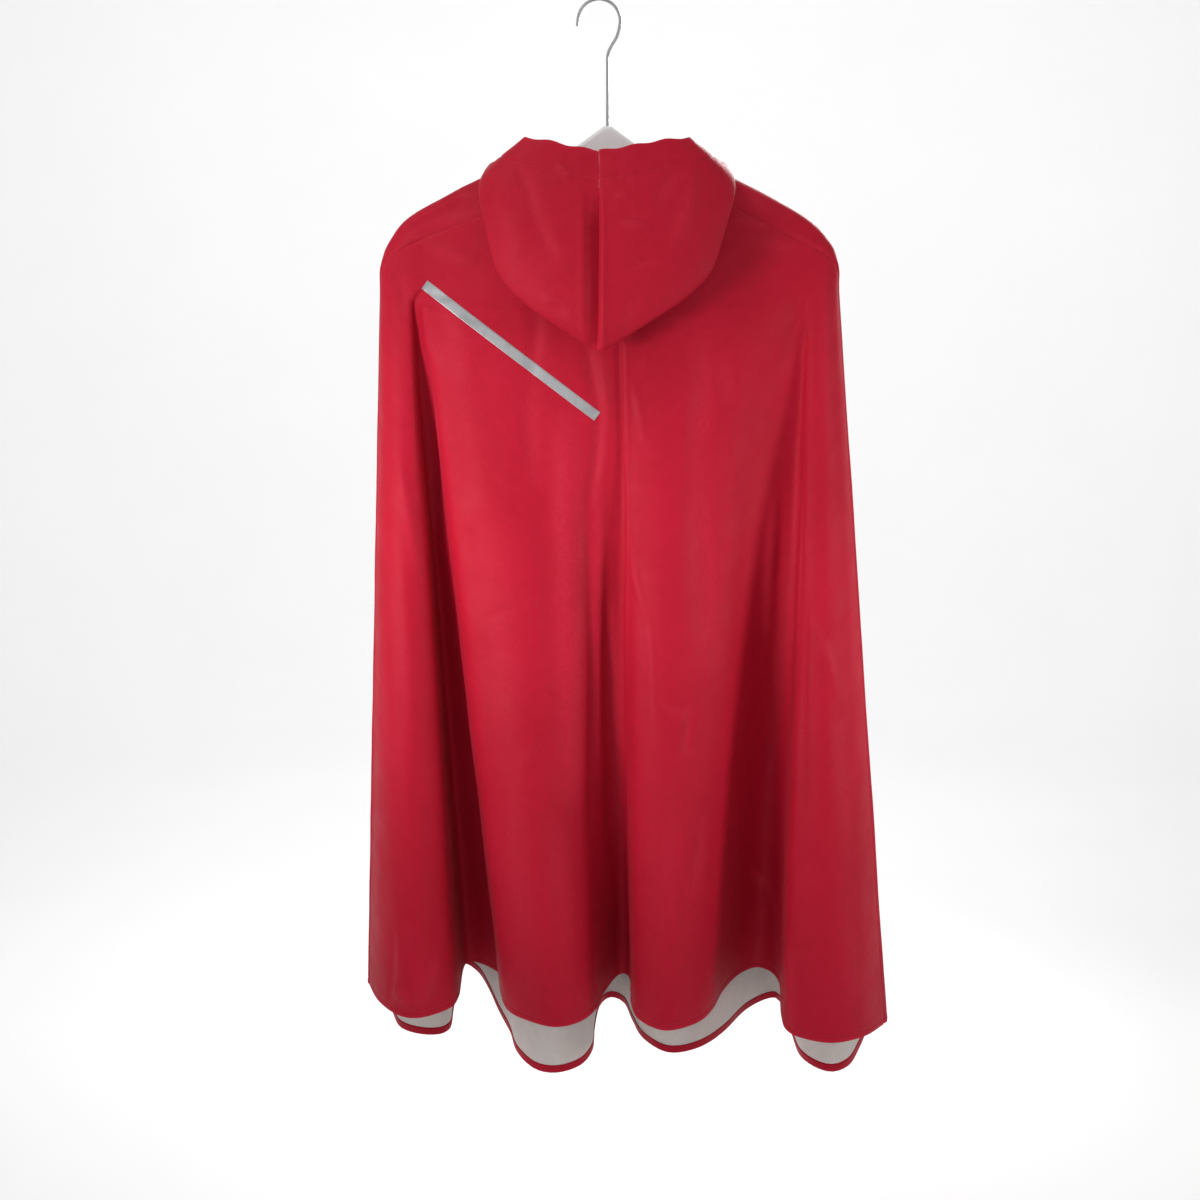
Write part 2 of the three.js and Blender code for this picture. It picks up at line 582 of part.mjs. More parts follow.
add('back_left', capePanel('seam_left', 'centre_seam'), RED, 0.45);
add('back_right', capePanel('centre_seam', 'seam_right'), RED, 0.45);
add('front', capePanel('seam_right', 'seam_left'), RED, 0.45);
add('hood_left', hoodHalf(-1), RED, 0.45);
add('hood_right', hoodHalf(1), RED, 0.45);
add('reflective_strip', reflectiveStrip(), 0xa8aaac, 0.4);
add('hanger', weld(hangerSolid()), 0xeeeae8, 0.5);
add('hook', weld(hookSolid()), 0xb9bcc0, 0.3);

export default part;
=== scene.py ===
# %% [markdown]
# A rain cape on its hanger, seen from behind
#
# The cape is cut from a red cloth with a smooth rubbery coat outside and a pale knit inside. It has
# two back panels, one front that wraps over the shoulders, a hood of two halves and a strip of
# reflective tape. It hangs from a flat white hanger with a wire hook.
# Every cloth piece below is a thin shell on the form of its CAD solid, with the creases laid in one
# by one. The hanger and the hook are the CAD solids themselves.

# %% Load the frame
import math

import bpy
import numpy as np
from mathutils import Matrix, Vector
from mathutils.bvhtree import BVHTree


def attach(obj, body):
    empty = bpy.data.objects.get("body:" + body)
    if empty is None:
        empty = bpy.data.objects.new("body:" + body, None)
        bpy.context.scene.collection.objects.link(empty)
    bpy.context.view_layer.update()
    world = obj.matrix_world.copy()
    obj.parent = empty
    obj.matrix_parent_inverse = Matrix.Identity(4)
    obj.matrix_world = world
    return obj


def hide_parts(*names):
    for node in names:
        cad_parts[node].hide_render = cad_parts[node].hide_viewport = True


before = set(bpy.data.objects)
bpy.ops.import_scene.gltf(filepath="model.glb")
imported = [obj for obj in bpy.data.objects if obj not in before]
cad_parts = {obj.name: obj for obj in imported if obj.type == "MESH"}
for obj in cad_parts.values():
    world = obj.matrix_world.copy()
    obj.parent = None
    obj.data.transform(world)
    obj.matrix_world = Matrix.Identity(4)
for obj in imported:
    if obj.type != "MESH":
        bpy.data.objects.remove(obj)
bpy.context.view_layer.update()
MM = 0.001

# %% [markdown]
# The way the cape hangs
#
# The cloth could be simulated, but then its folds would fall where they like. Here they have to
# fall where they do on the real cape, so the shape is worked out as a net: a row for each ring from
# the neck to the hem, and a column for each fold. The tables are in millimetres, with the hook's
# inside at height 0, and each fold says where it stands at arm height and where at the hem.

# %% Sizes of the shoulders
CENTRE_X = 9
RIDGE_TOP, RIDGE_SLOPE, RIDGE_CURVE, RIDGE_ROUND = -138.7, 0.186, 0.00098, 8
ARM_HEIGHT, ARM_HALF = -310, 250
BACK_SAG, FRONT_SAG, FRONT_START = 60, 80, 18
YOKE_FIELDS = ("half", "back_drop", "back_depth", "front_drop", "front_depth", "seam_left", "seam_right")
YOKE_RINGS = [dict(zip(YOKE_FIELDS, row)) for row in (
    (104, 66, 32, 93, 44, 38, 33),
    (140, 101, 34, 125, 44, 26, 20),
    (180, 136, 35.5, 155, 45, 17.4, 15.5),
    (215, 166, 37, 185, 46, 12.2, 11.8),
)]
CORNER_RINGS = ((0.6, 0.21), (0.92, 0.46))
FALL_RINGS = (0, 0.14, 0.28, 0.42, 0.57, 0.72, 0.86, 1)
ARM_RING = len(YOKE_RINGS) + len(CORNER_RINGS)
RINGS = ARM_RING + len(FALL_RINGS)
print("rings from neck to hem:", RINGS)

# %% The folds, once round from the left shoulder seam
# name, arm x, arm y, hem x, hem y, hem z, and where they aren't 0, 1 and 0 also how far down the
# fold starts, the power it opens with and its drop below the shoulder line
FOLD_TABLE = {
    "back": (
        ("seam_left", -237, -1, -268, 0, -1095),
        ("side_left", -233, -14, -252, -39, -1099),
        ("turn_1", -226, -22, -227, -70, -1102),
        ("crest_1", -217, -27, -202, -74, -1104),
        ("edge_1", -206, -29, -172, -52, -1103),
        ("wall_1", -201, -27, -163, -22, -1101),
        ("valley_1", -197, -21, -159, 59, -1093, 0, 0.9),
        ("rise_2a", -190, -26, -120, 36, -1096),
        ("rise_2b", -187, -31, -115, -4, -1100),
        ("rise_2c", -177, -35, -104, -50, -1105),
        ("turn_2", -158, -38, -78, -76, -1107),
        ("crest_2", -138, -41, -48, -89, -1108),
        ("round_2", -100, -44, -21, -76, -1107),
        ("fall_2a", -55, -45, -3, -45, -1105),
        ("fall_2b", -15, -45, 6, -10, -1101, 0.1, 1.2),
        ("valley_2", 10, -44, 22, 22, -1094, 0.16, 1.1),
        ("floor_2", 20, -44, 34, 20, -1093, 0.16, 1.1),
        ("centre_seam", 23, -46, 38, -8, -1097, 0.12, 1.2),
        ("edge_3", 28, -48, 37, -38, -1101),
        ("turn_3", 42, -48, 45, -75, -1105),
        ("crest_3", 70, -48, 73, -98, -1108),
        ("round_3", 110, -45, 107, -82, -1107),
        ("fall_3a", 145, -41, 128, -52, -1104),
        ("fall_3b", 172, -36, 144, -8, -1100),
        ("fall_3c", 195, -30, 167, 32, -1096, 0.05, 1),
        ("valley_3", 210, -25, 192, 43, -1093, 0.08, 1),
        ("edge_4", 220, -25, 211, 12, -1096, 0.05, 1),
        ("lip_4", 226, -28, 206, -66, -1105),
        ("turn_4", 233, -29, 214, -97, -1112),
        ("crest_4", 244, -26, 253, -112, -1116),
        ("side_4", 254, -17, 293, -95, -1117),
        ("seam_right", 259, -4, 324, -54, -1120),
    ),
    "right": (
        ("over_r1", 260, 5, 331, -34, -1122, 0, 1, 16),
        ("over_r2", 259, 12, 333, -16, -1128, 0, 1, 6),
        ("ridge_right", 257, 19, 333, 2, -1134),
        ("over_r3", 253, 26, 330, 16, -1142, 0, 1, -6),
        ("over_r4", 246, 31, 320, 16, -1150, 0, 1, -16),
    ),
    "front": (
        ("front_4d", 234, 36, 303, -18, -1164),
        ("front_4c", 222, 39, 283, -62, -1167),
        ("front_4", 212, 41, 258, -74, -1168),
        ("front_4b", 205, 42, 233, -40, -1167),
        ("front_4a", 199, 43, 228, 22, -1163),
        ("front_v3b", 191, 44, 223, 94, -1158),
        ("front_v3a", 179, 45, 208, 102, -1158),
        ("front_3e", 158, 46, 177, 74, -1161),
        ("front_3d", 138, 48, 147, 22, -1165),
        ("front_3c", 112, 50, 114, -16, -1167, 0.08, 1.1),
        ("front_3", 82, 52, 80, -28, -1167, 0.08, 1.1),
        ("front_3b", 58, 53, 53, 4, -1165),
        ("front_3a", 42, 54, 40, 50, -1162),
        ("front_v2b", 28, 55, 31, 90, -1158),
        ("front_v2a", 14, 55, 14, 104, -1157),
        ("front_2f", 0, 55, 0, 80, -1158),
        ("front_2e", -12, 54, -6, 32, -1167),
        ("front_2d", -24, 53, -8, -6, -1174, 0.05, 1),
        ("front_2c", -42, 53, -22, -36, -1179, 0.08, 1.1),
        ("front_2", -64, 52, -49, -51, -1181, 0.08, 1.1),
        ("front_2b", -88, 51, -74, -42, -1180, 0.05, 1),
        ("front_2a", -110, 50, -95, -11, -1174),
        ("front_1h", -126, 49, -105, 26, -1168),
        ("front_1g", -138, 48, -120, 62, -1158),
        ("front_1f", -148, 47, -136, 96, -1142),
        ("front_v1b", -157, 46, -153, 130, -1133),
        ("front_v1a", -166, 45, -172, 140, -1131),
        ("front_1d", -175, 44, -178, 74, -1158),
        ("front_1c", -183, 43, -180, 28, -1165),
        ("front_1", -193, 42, -203, 17, -1166),
        ("front_1b", -204, 40, -236, 38, -1167),
        ("front_1a", -214, 37, -252, 74, -1162),
    ),
    "left": (
        ("over_l4", -221, 33, -263, 84, -1148, 0, 1, -16),
        ("over_l3", -228, 27, -270, 66, -1133, 0, 1, -6),
        ("ridge_left", -233, 20, -272, 47, -1120),
        ("over_l2", -236, 13, -272, 30, -1109, 0, 1, 6),
        ("over_l1", -237, 6, -271, 14, -1101, 0, 1, 16),
    ),
}
FOLD_REST = (0, 1, 0)
FOLDS = [
    (name, zone, *numbers, *FOLD_REST[len(numbers) - 5:])
    for zone, rows in FOLD_TABLE.items() for name, *numbers in rows
]
COLUMN = {fold[0]: index for index, fold in enumerate(FOLDS)}
print("fold columns:", len(FOLDS))


# %% Rings over the shoulders
def mix(a, b, share):
    return a + (b - a) * share


def ridge_height(from_centre):
    return RIDGE_TOP - RIDGE_SLOPE * abs(from_centre) - RIDGE_CURVE * from_centre**2


YOKE_POWER = 1.1


def yoke_point(ring, angle):
    side = math.sin(math.radians(angle))
    face = "back" if side >= 0 else "front"
    drop = ring[face + "_drop"] * abs(side) ** YOKE_POWER
    capped = min(drop, RIDGE_ROUND)
    out = math.sqrt(2 * RIDGE_ROUND * capped - capped**2) + ring[face + "_depth"] * abs(side)
    across = -ring["half"] * math.cos(math.radians(angle))
    return [CENTRE_X + across, -out if face == "back" else out, ridge_height(across) - drop]


def angle_for_drop(ring, drop):
    full = ring["back_drop"] if drop >= 0 else ring["front_drop"]
    return math.degrees(math.asin((abs(drop) / full) ** (1 / YOKE_POWER)))


# the folds of the back stay this share of the way clear of the shoulder seams
BESIDE_SEAM = 0.025


def fold_angle(ring, fold):
    zone, arm_x, drop = fold[1], fold[2], fold[9]
    if zone in ("left", "right"):
        angle = angle_for_drop(ring, drop) * np.sign(drop)
        return 180 - angle if zone == "right" else angle
    across = np.clip((arm_x - CENTRE_X) / ARM_HALF, -1, 1)
    shoulder = YOKE_RINGS[-1]
    turned = math.degrees(math.acos(-across))
    if zone == "back":
        left, right = shoulder["seam_left"], shoulder["seam_right"]
        at_seam = fold[0].startswith("seam")
        lowest, highest = (0, 1) if at_seam else (BESIDE_SEAM, 1 - BESIDE_SEAM)
        share = np.clip((turned - left) / (180 - left - right), lowest, highest)
        return mix(ring["seam_left"], 180 - ring["seam_right"], share)
    outer = angle_for_drop(shoulder, -FRONT_START)
    inner = angle_for_drop(ring, -FRONT_START)
    return mix(180 + inner, 360 - inner, (180 - turned - outer) / (180 - 2 * outer))


# %% The whole net
def arm_point(fold):
    across = (fold[2] - CENTRE_X) / ARM_HALF
    sag = FRONT_SAG if fold[1] == "front" else BACK_SAG
    return np.array([fold[2], fold[3], ARM_HEIGHT - sag * max(0, 1 - across**2)])


def hanging_point(fold, fall):
    start, power = fold[7], fold[8]
    opened = 0 if fall <= start else ((fall - start) / (1 - start)) ** power
    return mix(arm_point(fold), np.array(fold[4:7], float), np.array([fall, opened, fall]))


def cape_net():
    rows = [[yoke_point(ring, fold_angle(ring, fold)) for fold in FOLDS] for ring in YOKE_RINGS]
    shoulder = np.array(rows[-1])
    arms = np.array([arm_point(fold) for fold in FOLDS])
    for across, down in CORNER_RINGS:
        rows.append(mix(shoulder, arms, np.array([across, down, down])))
    for fall in FALL_RINGS:
        rows.append([hanging_point(fold, fall) for fold in FOLDS])
    return np.array(rows, float)


CAPE_NET = cape_net()
print("net size:", CAPE_NET.shape)


# %% Smooth cloth through the net
def spline_shares(t):
    """How much the four points round a place count, t of the way from the second to the third."""
    return 0.5 * np.array([
        -t + 2 * t**2 - t**3,
        2 - 5 * t**2 + 3 * t**3,
        t + 4 * t**2 - 3 * t**3,
        t**3 - t**2,
    ])


def curve_weights(places, count, closed):
    """How much each net point counts at each place, on a smooth curve through all of them."""
    places = np.asarray(places, float)
    base = np.floor(places).astype(int)
    if not closed:
        base = np.clip(base, 0, count - 2)
    weights = np.zeros((len(places), count))
    for step, share in enumerate(spline_shares(places - base)):
        for row, (at, part) in enumerate(zip(base + step - 1, share)):
            if closed:
                weights[row, at % count] += part
            elif at < 0:
                weights[row, 0] += 2 * part
                weights[row, 1] -= part
            elif at >= count:
                weights[row, count - 1] += 2 * part
                weights[row, count - 2] -= part
            else:
                weights[row, at] += part
    return weights


def on_net(net, columns, rows, closed):
    down = curve_weights(rows, net.shape[0], False)
    across = curve_weights(columns, net.shape[1], closed)
    return np.einsum("rj,ci,jik->rck", down, across, net)


def grid_normals(points):
    """Outward normals of a grid of points: down the cloth crossed with along it."""
    down = np.gradient(points, axis=0)
    along = np.gradient(points, axis=1)
    normals = np.cross(down, along)
    return normals / np.maximum(np.linalg.norm(normals, axis=2, keepdims=True), 1e-9)


# %% [markdown]
# Creases
#
# A coated cloth keeps soft creases from being folded and handled: shallow troughs and ridges a few
# millimetres wide that fade at both ends. They could be painted with a bump map, but only real
# relief catches the light from every side. Each one is a row of a table with its two ends as seen
# from the back or the front, its width, and its height, which is negative for a trough.

# %% Crease relief
CREASE_DEPTH = 1.3
# wavelength in mm and strength of the waves that make hanging cloth uneven
COCKLE_WAVES = ((150, 1.0), (90, 0.6), (52, 0.34), (31, 0.18))


def crease_relief(x, z, rows):
    """Height in mm that a table of creases adds at places x and z."""
    lift = np.zeros_like(x)
    for x0, z0, x1, z1, width, height, bend in rows:
        run = np.array([x1 - x0, z1 - z0], float)
        length = np.hypot(*run)
        run /= length
        t = ((x - x0) * run[0] + (z - z0) * run[1]) / length
        aside = (z - z0) * run[0] - (x - x0) * run[1]
        inside = np.clip(t, 0, 1)
        aside = aside - bend * 4 * inside * (1 - inside)
        fade = np.sin(math.pi * inside) ** 0.8
        fade = np.where((t > 0) & (t < 1), fade, 0)
        lift += height * fade * np.exp(-((aside / width) ** 2))
    return lift * CREASE_DEPTH


def cockle(u, v, seed, height):
    """Slight unevenness of hanging cloth, from a few waves with seeded directions."""
    rng = np.random.default_rng(seed)
    lift = np.zeros_like(u)
    for wavelength, share in COCKLE_WAVES:
        for _ in range(3):
            turn = rng.uniform(0, 2 * math.pi)
            phase = rng.uniform(0, 2 * math.pi)
            stretch = rng.uniform(0.35, 0.8)
            place = (u * math.cos(turn) + v * stretch * math.sin(turn)) * 2 * math.pi / wavelength
            lift += share * np.sin(place + phase + 0.7 * np.sin(v / 83 + phase))
    return lift * height / 3


# %% Creases, one by one
# x and z of one end, x and z of the other, width, height, bend
BACK_LEFT_CREASES = (
    (-218, -262, -205, -335, 8, -1.2, 2),
    (-189, -362, -180, -570, 9, -6.5, 0),
    (-36, -420, -26, -880, 16, 4.5, 2),
    (8, -620, 15, -940, 9, -3.5, 0),
    (-186, -250, -128, -268, 7, 1.6, -3),
    (-160, -290, -150, -420, 16, 1.4, 4),
    (-66, -322, -74, -395, 8, -1.8, 3),
    (-74, -385, -66, -520, 10, -1.4, -4),
    (-13, -340, 1, -430, 6, -2.4, -2),
    (1, -410, -11, -535, 6, -2.4, 3),
    (-12, -505, -12, -930, 6, -2.4, 2),
    (2, -350, 11, -450, 4.5, 1.6, 0),
    (2, -470, 5, -960, 5, 1.8, -2),
    (-120, -652, -92, -638, 3.2, -1.1, 2),
    (-90, -641, -58, -628, 5, 0.9, 0),
    (-54, -631, -20, -622, 3.6, 1, -2),
    (-56, -733, -34, -748, 3.2, -1.1, 3),
    (-86, -818, -68, -786, 6, 1.2, 2),
    (-120, -540, -104, -820, 18, -1.5, 8),
    (-96, -820, -78, -1040, 14, 1.2, -5),
    (-62, -850, -40, -1020, 12, -1.2, 5),
    (-221, -462, -199, -615, 6, 1.5, 3),
    (-232, -560, -214, -800, 9, -1.3, 4),
    (-234, -1070, -209, -1096, 7, 2.6, 3),
    (-211, -1096, -181, -1038, 7, 2.4, -4),
    (-230, -1000, -236, -1094, 4, -1.8, 1),
    (-211, -992, -211, -1026, 3.5, -1, 1),
)
BACK_RIGHT_CREASES = (
    (134, -222, 186, -234, 6, 2.2, 2),
    (150, -240, 214, -256, 7, 1.5, -2),
    (240, -262, 245, -470, 6, 1.3, 0),
    (112, -340, 100, -500, 11, -2, 3),
    (132, -366, 141, -424, 8, -1.4, 0),
    (110, -470, 124, -720, 14, -2.6, -6),
    (34, -392, 49, -462, 4, 1.4, 1),
    (33, -566, 53, -650, 3.6, 1.5, -3),
    (53, -640, 60, -800, 3.4, 1.4, 2),
    (60, -739, 97, -749, 3.4, -1.2, -2),
    (98, -738, 91, -806, 4, -1.7, 2),
    (78, -800, 70, -1010, 10, -1.1, 4),
    (112, -860, 99, -970, 6, -1.3, 3),
    (194, -510, 189, -700, 7, 2, -2),
    (213, -440, 222, -880, 8, -2.6, 3),
    (234, -600, 234, -900, 8, 1.4, -3),
    (226, -646, 266, -760, 5.5, 1.5, 6),
    (262, -700, 280, -930, 9, -1.4, -4),
    (176, -960, 209, -1012, 5, 2.4, 4),
    (207, -1000, 219, -1120, 5, 2.2, 0),
    (262, -940, 276, -1090, 12, 1.3, 3),
)
SHOULDER_CREASES = (
    (-206, -236, -116, -214, 5, -1.8, 3),
    (-212, -248, -178, -258, 6, 1.7, 2),
    (-150, -204, -110, -200, 6, 1.3, 0),
    (140, -200, 188, -218, 5.5, 2.2, 2),
    (168, -206, 208, -226, 4.5, -1.4, 1),
    (204, -238, 222, -252, 3.5, 1.3, 0),
)
FRONT_CREASES = (
    (-206, -250, -120, -300, 8, 1.8, -6),
    (-60, -260, -20, -330, 7, -1.6, 4),
    (64, -262, 30, -336, 7, -1.5, -4),
    (212, -258, 130, -305, 8, 1.7, 6),
    (-190, -330, -172, -640, 10, -2, 4),
    (-140, -420, -112, -700, 14, 1.8, -5),
    (-60, -430, -48, -760, 12, -1.8, 6),
    (-86, -590, -60, -604, 3.6, -1.1, 2),
    (-20, -700, 6, -690, 3.6, 1.1, -2),
    (44, -400, 66, -720, 13, 1.6, 4),
    (96, -460, 120, -800, 15, -2, -6),
    (150, -380, 166, -700, 11, 1.6, 3),
    (120, -640, 148, -652, 4, -1.2, 2),
    (196, -420, 212, -760, 9, -1.8, -3),
    (-214, -780, -206, -1100, 9, 1.7, 4),
    (-66, -840, -52, -1110, 13, -1.5, -5),
    (78, -850, 92, -1120, 12, 1.4, 5),
    (254, -800, 268, -1100, 10, -1.5, 4),
)
HOOD_LEFT_CREASES = (
    (-88, -168, -64, -230, 7, -2, 3),
    (-68, -214, -42, -275, 8, -1.6, -2),
    (-44, -174, -28, -190, 3.5, 1.2, 1),
    (-52, -316, -32, -326, 3.6, -1.3, 2),
    (-60, -306, -34, -316, 4, 1, 0),
    (-100, -212, -84, -276, 9, 1.3, 3),
)
HOOD_RIGHT_CREASES = (
    (16, -211, 31, -204, 3.2, 1.3, 1),
    (20, -234, 54, -238, 5, 1.6, 1),
    (24, -226, 52, -228, 4, -1.1, 0),
    (28, -281, 60, -273, 3.6, -1.1, 2),
    (100, -178, 72, -262, 9, 1.5, 5),
    (84, -178, 56, -220, 8, -1.3, -3),
    (40, -300, 22, -345, 7, -1, 2),
)
print("creases on the back:", len(BACK_LEFT_CREASES + BACK_RIGHT_CREASES))
print("creases on the front:", len(SHOULDER_CREASES + FRONT_CREASES))
print("creases on the hood:", len(HOOD_LEFT_CREASES + HOOD_RIGHT_CREASES))


# %% [markdown]
# From a grid of points to cloth
#
# Every cloth piece is one closed shell: an outer side, an inner side a millimetre behind it, and
# narrow edges between them. The outer side takes the red coat and the inner side the pale knit.
# A Solidify modifier could do the same, but here the turned hem is thicker than the rest and red on
# the inside, and a shell made by hand can say so for each row. The two UV axes run along the cut
# piece in metres, so that a weave keeps its size everywhere.

# %% Distances along the cloth
EDGE_EASE = 1.4


def run_lengths(points, axis):
    """Distance in mm along the grid from its first row or column."""
    steps = np.linalg.norm(np.diff(points, axis=axis), axis=2)
    start = np.zeros_like(np.take(steps, [0], axis=axis))
    return np.concatenate([start, np.cumsum(steps, axis=axis)], axis=axis)


def to_end(lengths, axis):
    return np.take(lengths, [-1], axis=axis) - lengths


def fine_places(lines, step, eased):
    """Places between net lines, close enough together that no cloth step is over step mm."""
    places = [0.0]
    for k in range(len(lines) - 1):
        gap = np.linalg.norm(lines[k + 1] - lines[k], axis=1).max()
        count = max(2, math.ceil(gap / step))
        shares = np.arange(1, count + 1) / count
        if eased and k == 0:
            shares = shares**EDGE_EASE
        if eased and k == len(lines) - 2:
            shares = 1 - (1 - shares) ** EDGE_EASE
        places += list(k + shares)
    return np.array(places)


# %% A closed shell of cloth
HALF_CLOTH = 0.5
HEM_TURN = 8
HEM_EXTRA = 0.7
OUTER_SLOT, INNER_SLOT = 0, 1
SHARP_EDGE = math.radians(50)


def shell_faces(height, width):
    rows, columns = np.meshgrid(np.arange(height - 1), np.arange(width - 1), indexing="ij")
    k = (rows * width + columns).ravel()
    count = height * width
    outer = np.stack([k, k + width, k + width + 1, k + 1], axis=1)
    inner = np.stack([k, k + 1, k + width + 1, k + width], axis=1) + count
    top = np.arange(width - 1)
    low = top + (height - 1) * width
    left = np.arange(height - 1) * width
    right = left + width - 1
    edges = np.concatenate([
        np.stack([top, top + 1, top + 1 + count, top + count], axis=1),
        np.stack([low, low + count, low + 1 + count, low + 1], axis=1),
        np.stack([left, left + count, left + count + width, left + width], axis=1),
        np.stack([right, right + width, right + width + count, right + count], axis=1),
    ])
    return outer, inner, edges


def make_mesh(name, points, faces, slots, materials, uvs=None, rub=None):
    mesh = bpy.data.meshes.new(name)
    mesh.from_pydata((points * MM).tolist(), [], faces.tolist())
    mesh.polygons.foreach_set("material_index", np.asarray(slots, np.int32))
    for material in materials:
        mesh.materials.append(material)
    if uvs is not None:
        corners = np.zeros(len(mesh.loops), np.int32)
        mesh.loops.foreach_get("vertex_index", corners)
        layer = mesh.uv_layers.new(name="cut")
        layer.data.foreach_set("uv", (uvs[corners] * MM).astype(np.float32).ravel())
    if rub is not None:
        worn = mesh.attributes.new("rub", "FLOAT", "POINT")
        worn.data.foreach_set("value", rub.astype(np.float32))
    mesh.shade_smooth()
    mesh.set_sharp_from_angle(angle=SHARP_EDGE)
    mesh.update()
    piece = bpy.data.objects.new(name, mesh)
    bpy.context.scene.collection.objects.link(piece)
    return piece


def cloth_shell(name, middle, inner_extra, red_inside, rub, materials):
    """A shell round a grid of middle points. red_inside says which inner faces are turned hem."""
    height, width = middle.shape[:2]
    normals = grid_normals(middle)
    outside = middle + normals * HALF_CLOTH
    inside = middle - normals * (HALF_CLOTH + inner_extra)[..., None]
    points = np.concatenate([outside.reshape(-1, 3), inside.reshape(-1, 3)])
    outer, inner, edges = shell_faces(height, width)
    inner_slots = np.where(red_inside[:-1, :-1].ravel(), OUTER_SLOT, INNER_SLOT)
    slots = np.concatenate([
        np.full(len(outer), OUTER_SLOT), inner_slots, np.full(len(edges), OUTER_SLOT),
    ])
    along = run_lengths(middle, 1)
    down = run_lengths(middle, 0)
    uvs = np.stack([along - along[:, -1:] / 2, -down], axis=2).reshape(-1, 2)
    piece = make_mesh(
        name, points, np.concatenate([outer, inner, edges]), slots, materials,
        np.concatenate([uvs, uvs]), np.concatenate([rub.ravel(), rub.ravel()]),
    )
    print(f"{name}: {len(piece.data.polygons) * 2} triangles")
    return piece, outside, normals


# %% [markdown]
# Finishes
#
# The outside is a knit with a thin rubbery coat: a strong red, smooth and half matt, that shows the
# faintest grain of the cloth beneath. The inside is the bare knit. The tape is covered in tiny glass
# beads. All of them are noise and wave textures in metres, read off the cut's own UV axes, because
# an image would repeat or stretch.

# %% Node helpers
WAVE_TURN = 2 * math.pi / 20


def new_material(name, roughness, metallic=0.0):
    material = bpy.data.materials.new(name)
    material.use_nodes = True
    tree = material.node_tree
    shader = tree.nodes["Principled BSDF"]
    shader.inputs["Roughness"].default_value = roughness
    shader.inputs["Metallic"].default_value = metallic
    return material, tree, shader


def add_node(tree, kind, inputs=None, **settings):
    node = tree.nodes.new(kind)
    for key, value in settings.items():
        setattr(node, key, value)
    for key, value in (inputs or {}).items():
        if isinstance(value, bpy.types.NodeSocket):
            tree.links.new(value, node.inputs[key])
        else:
            node.inputs[key].default_value = value
    return node


def link_finish(tree, shader, colour, rough, normal):
    for socket, value in (("Base Color", colour), ("Roughness", rough), ("Normal", normal)):
        tree.links.new(value, shader.inputs[socket])


def place_of(tree, uv_name):
    if uv_name:
        return add_node(tree, "ShaderNodeUVMap", uv_map=uv_name).outputs["UV"]
    return add_node(tree, "ShaderNodeTexCoord").outputs["Object"]


def noise(tree, place, size, detail=3.0, roughness=0.5):
    """A noise whose blobs are about size metres across."""
    values = {"Vector": place, "Scale": 1 / size, "Detail": detail, "Roughness": roughness}
    return add_node(tree, "ShaderNodeTexNoise", values).outputs["Fac"]


def spread(tree, value, low, high, from_low=0.3, from_high=0.7):
    values = {"Value": value, "From Min": from_low, "From Max": from_high, "To Min": low, "To Max": high}
    return add_node(tree, "ShaderNodeMapRange", values).outputs["Result"]


def blend_colours(tree, share, first, second):
    node = add_node(tree, "ShaderNodeMix", data_type="RGBA")
    for socket, value in zip((node.inputs[0], node.inputs[6], node.inputs[7]), (share, first, second)):
        if isinstance(value, bpy.types.NodeSocket):
            tree.links.new(value, socket)
        else:
            socket.default_value = value
    return node.outputs[2]


def bump(tree, height, distance, strength, normal=None):
    values = {"Height": height, "Distance": distance, "Strength": strength}
    if normal is not None:
        values["Normal"] = normal
    return add_node(tree, "ShaderNodeBump", values).outputs["Normal"]


def maths(tree, operation, first, second):
    return add_node(tree, "ShaderNodeMath", {0: first, 1: second}, operation=operation).outputs[0]


def weave(tree, place, pitch):
    """Warp over weft: two crossed rows of threads, pitch metres apart."""
    scale = WAVE_TURN / pitch
    threads = []
    for direction in ("X", "Y"):
        values = {"Vector": place, "Scale": scale, "Distortion": 0.4, "Detail": 1.0}
        wave = add_node(tree, "ShaderNodeTexWave", values, bands_direction=direction)
        threads.append(wave.outputs["Fac"])
    return maths(tree, "MAXIMUM", threads[0], threads[1])


# %% The cloth finishes
BROAD_PATCH, SOFT_PATCH, FINE_PATCH, SCUFF = 0.16, 0.03, 0.012, 0.004
COAT_RED = (0.44, 0.0060, 0.0255, 1)
COAT_DEEP = (0.38, 0.0046, 0.0195, 1)
COAT_RUBBED = (0.50, 0.024, 0.050, 1)
KNIT_PALE = (0.72, 0.66, 0.63, 1)
KNIT_SHADE = (0.63, 0.57, 0.54, 1)


def cloth_finish(name, colours, roughness, pitch, grain, sheen, crumple):
    material, tree, shader = new_material(name, roughness)
    place = place_of(tree, "cut")
    broad = noise(tree, place, BROAD_PATCH, 4.0)
    fine = noise(tree, place, FINE_PATCH, 3.0)
    mixed = maths(tree, "ADD", maths(tree, "MULTIPLY", broad, 0.7), maths(tree, "MULTIPLY", fine, 0.3))
    colour = blend_colours(tree, spread(tree, mixed, 0.0, 1.0, 0.36, 0.64), colours[0], colours[1])
    rub = add_node(tree, "ShaderNodeAttribute", attribute_name="rub").outputs["Fac"]
    scuff = maths(tree, "MULTIPLY", rub, spread(tree, noise(tree, place, SCUFF), 0.25, 1.0))
    colour = blend_colours(tree, scuff, colour, colours[2])
    rough = spread(tree, noise(tree, place, SOFT_PATCH, 5.0), roughness - 0.06, roughness + 0.08)
    soft = bump(tree, noise(tree, place, SOFT_PATCH, 4.0, 0.55), 0.004, crumple)
    threads = bump(tree, weave(tree, place, pitch), 0.00015, grain, soft)
    link_finish(tree, shader, colour, rough, threads)
    shader.inputs["Sheen Weight"].default_value = sheen
    shader.inputs["Sheen Roughness"].default_value = 0.45
    shader.inputs["Specular IOR Level"].default_value = 0.12
    return material


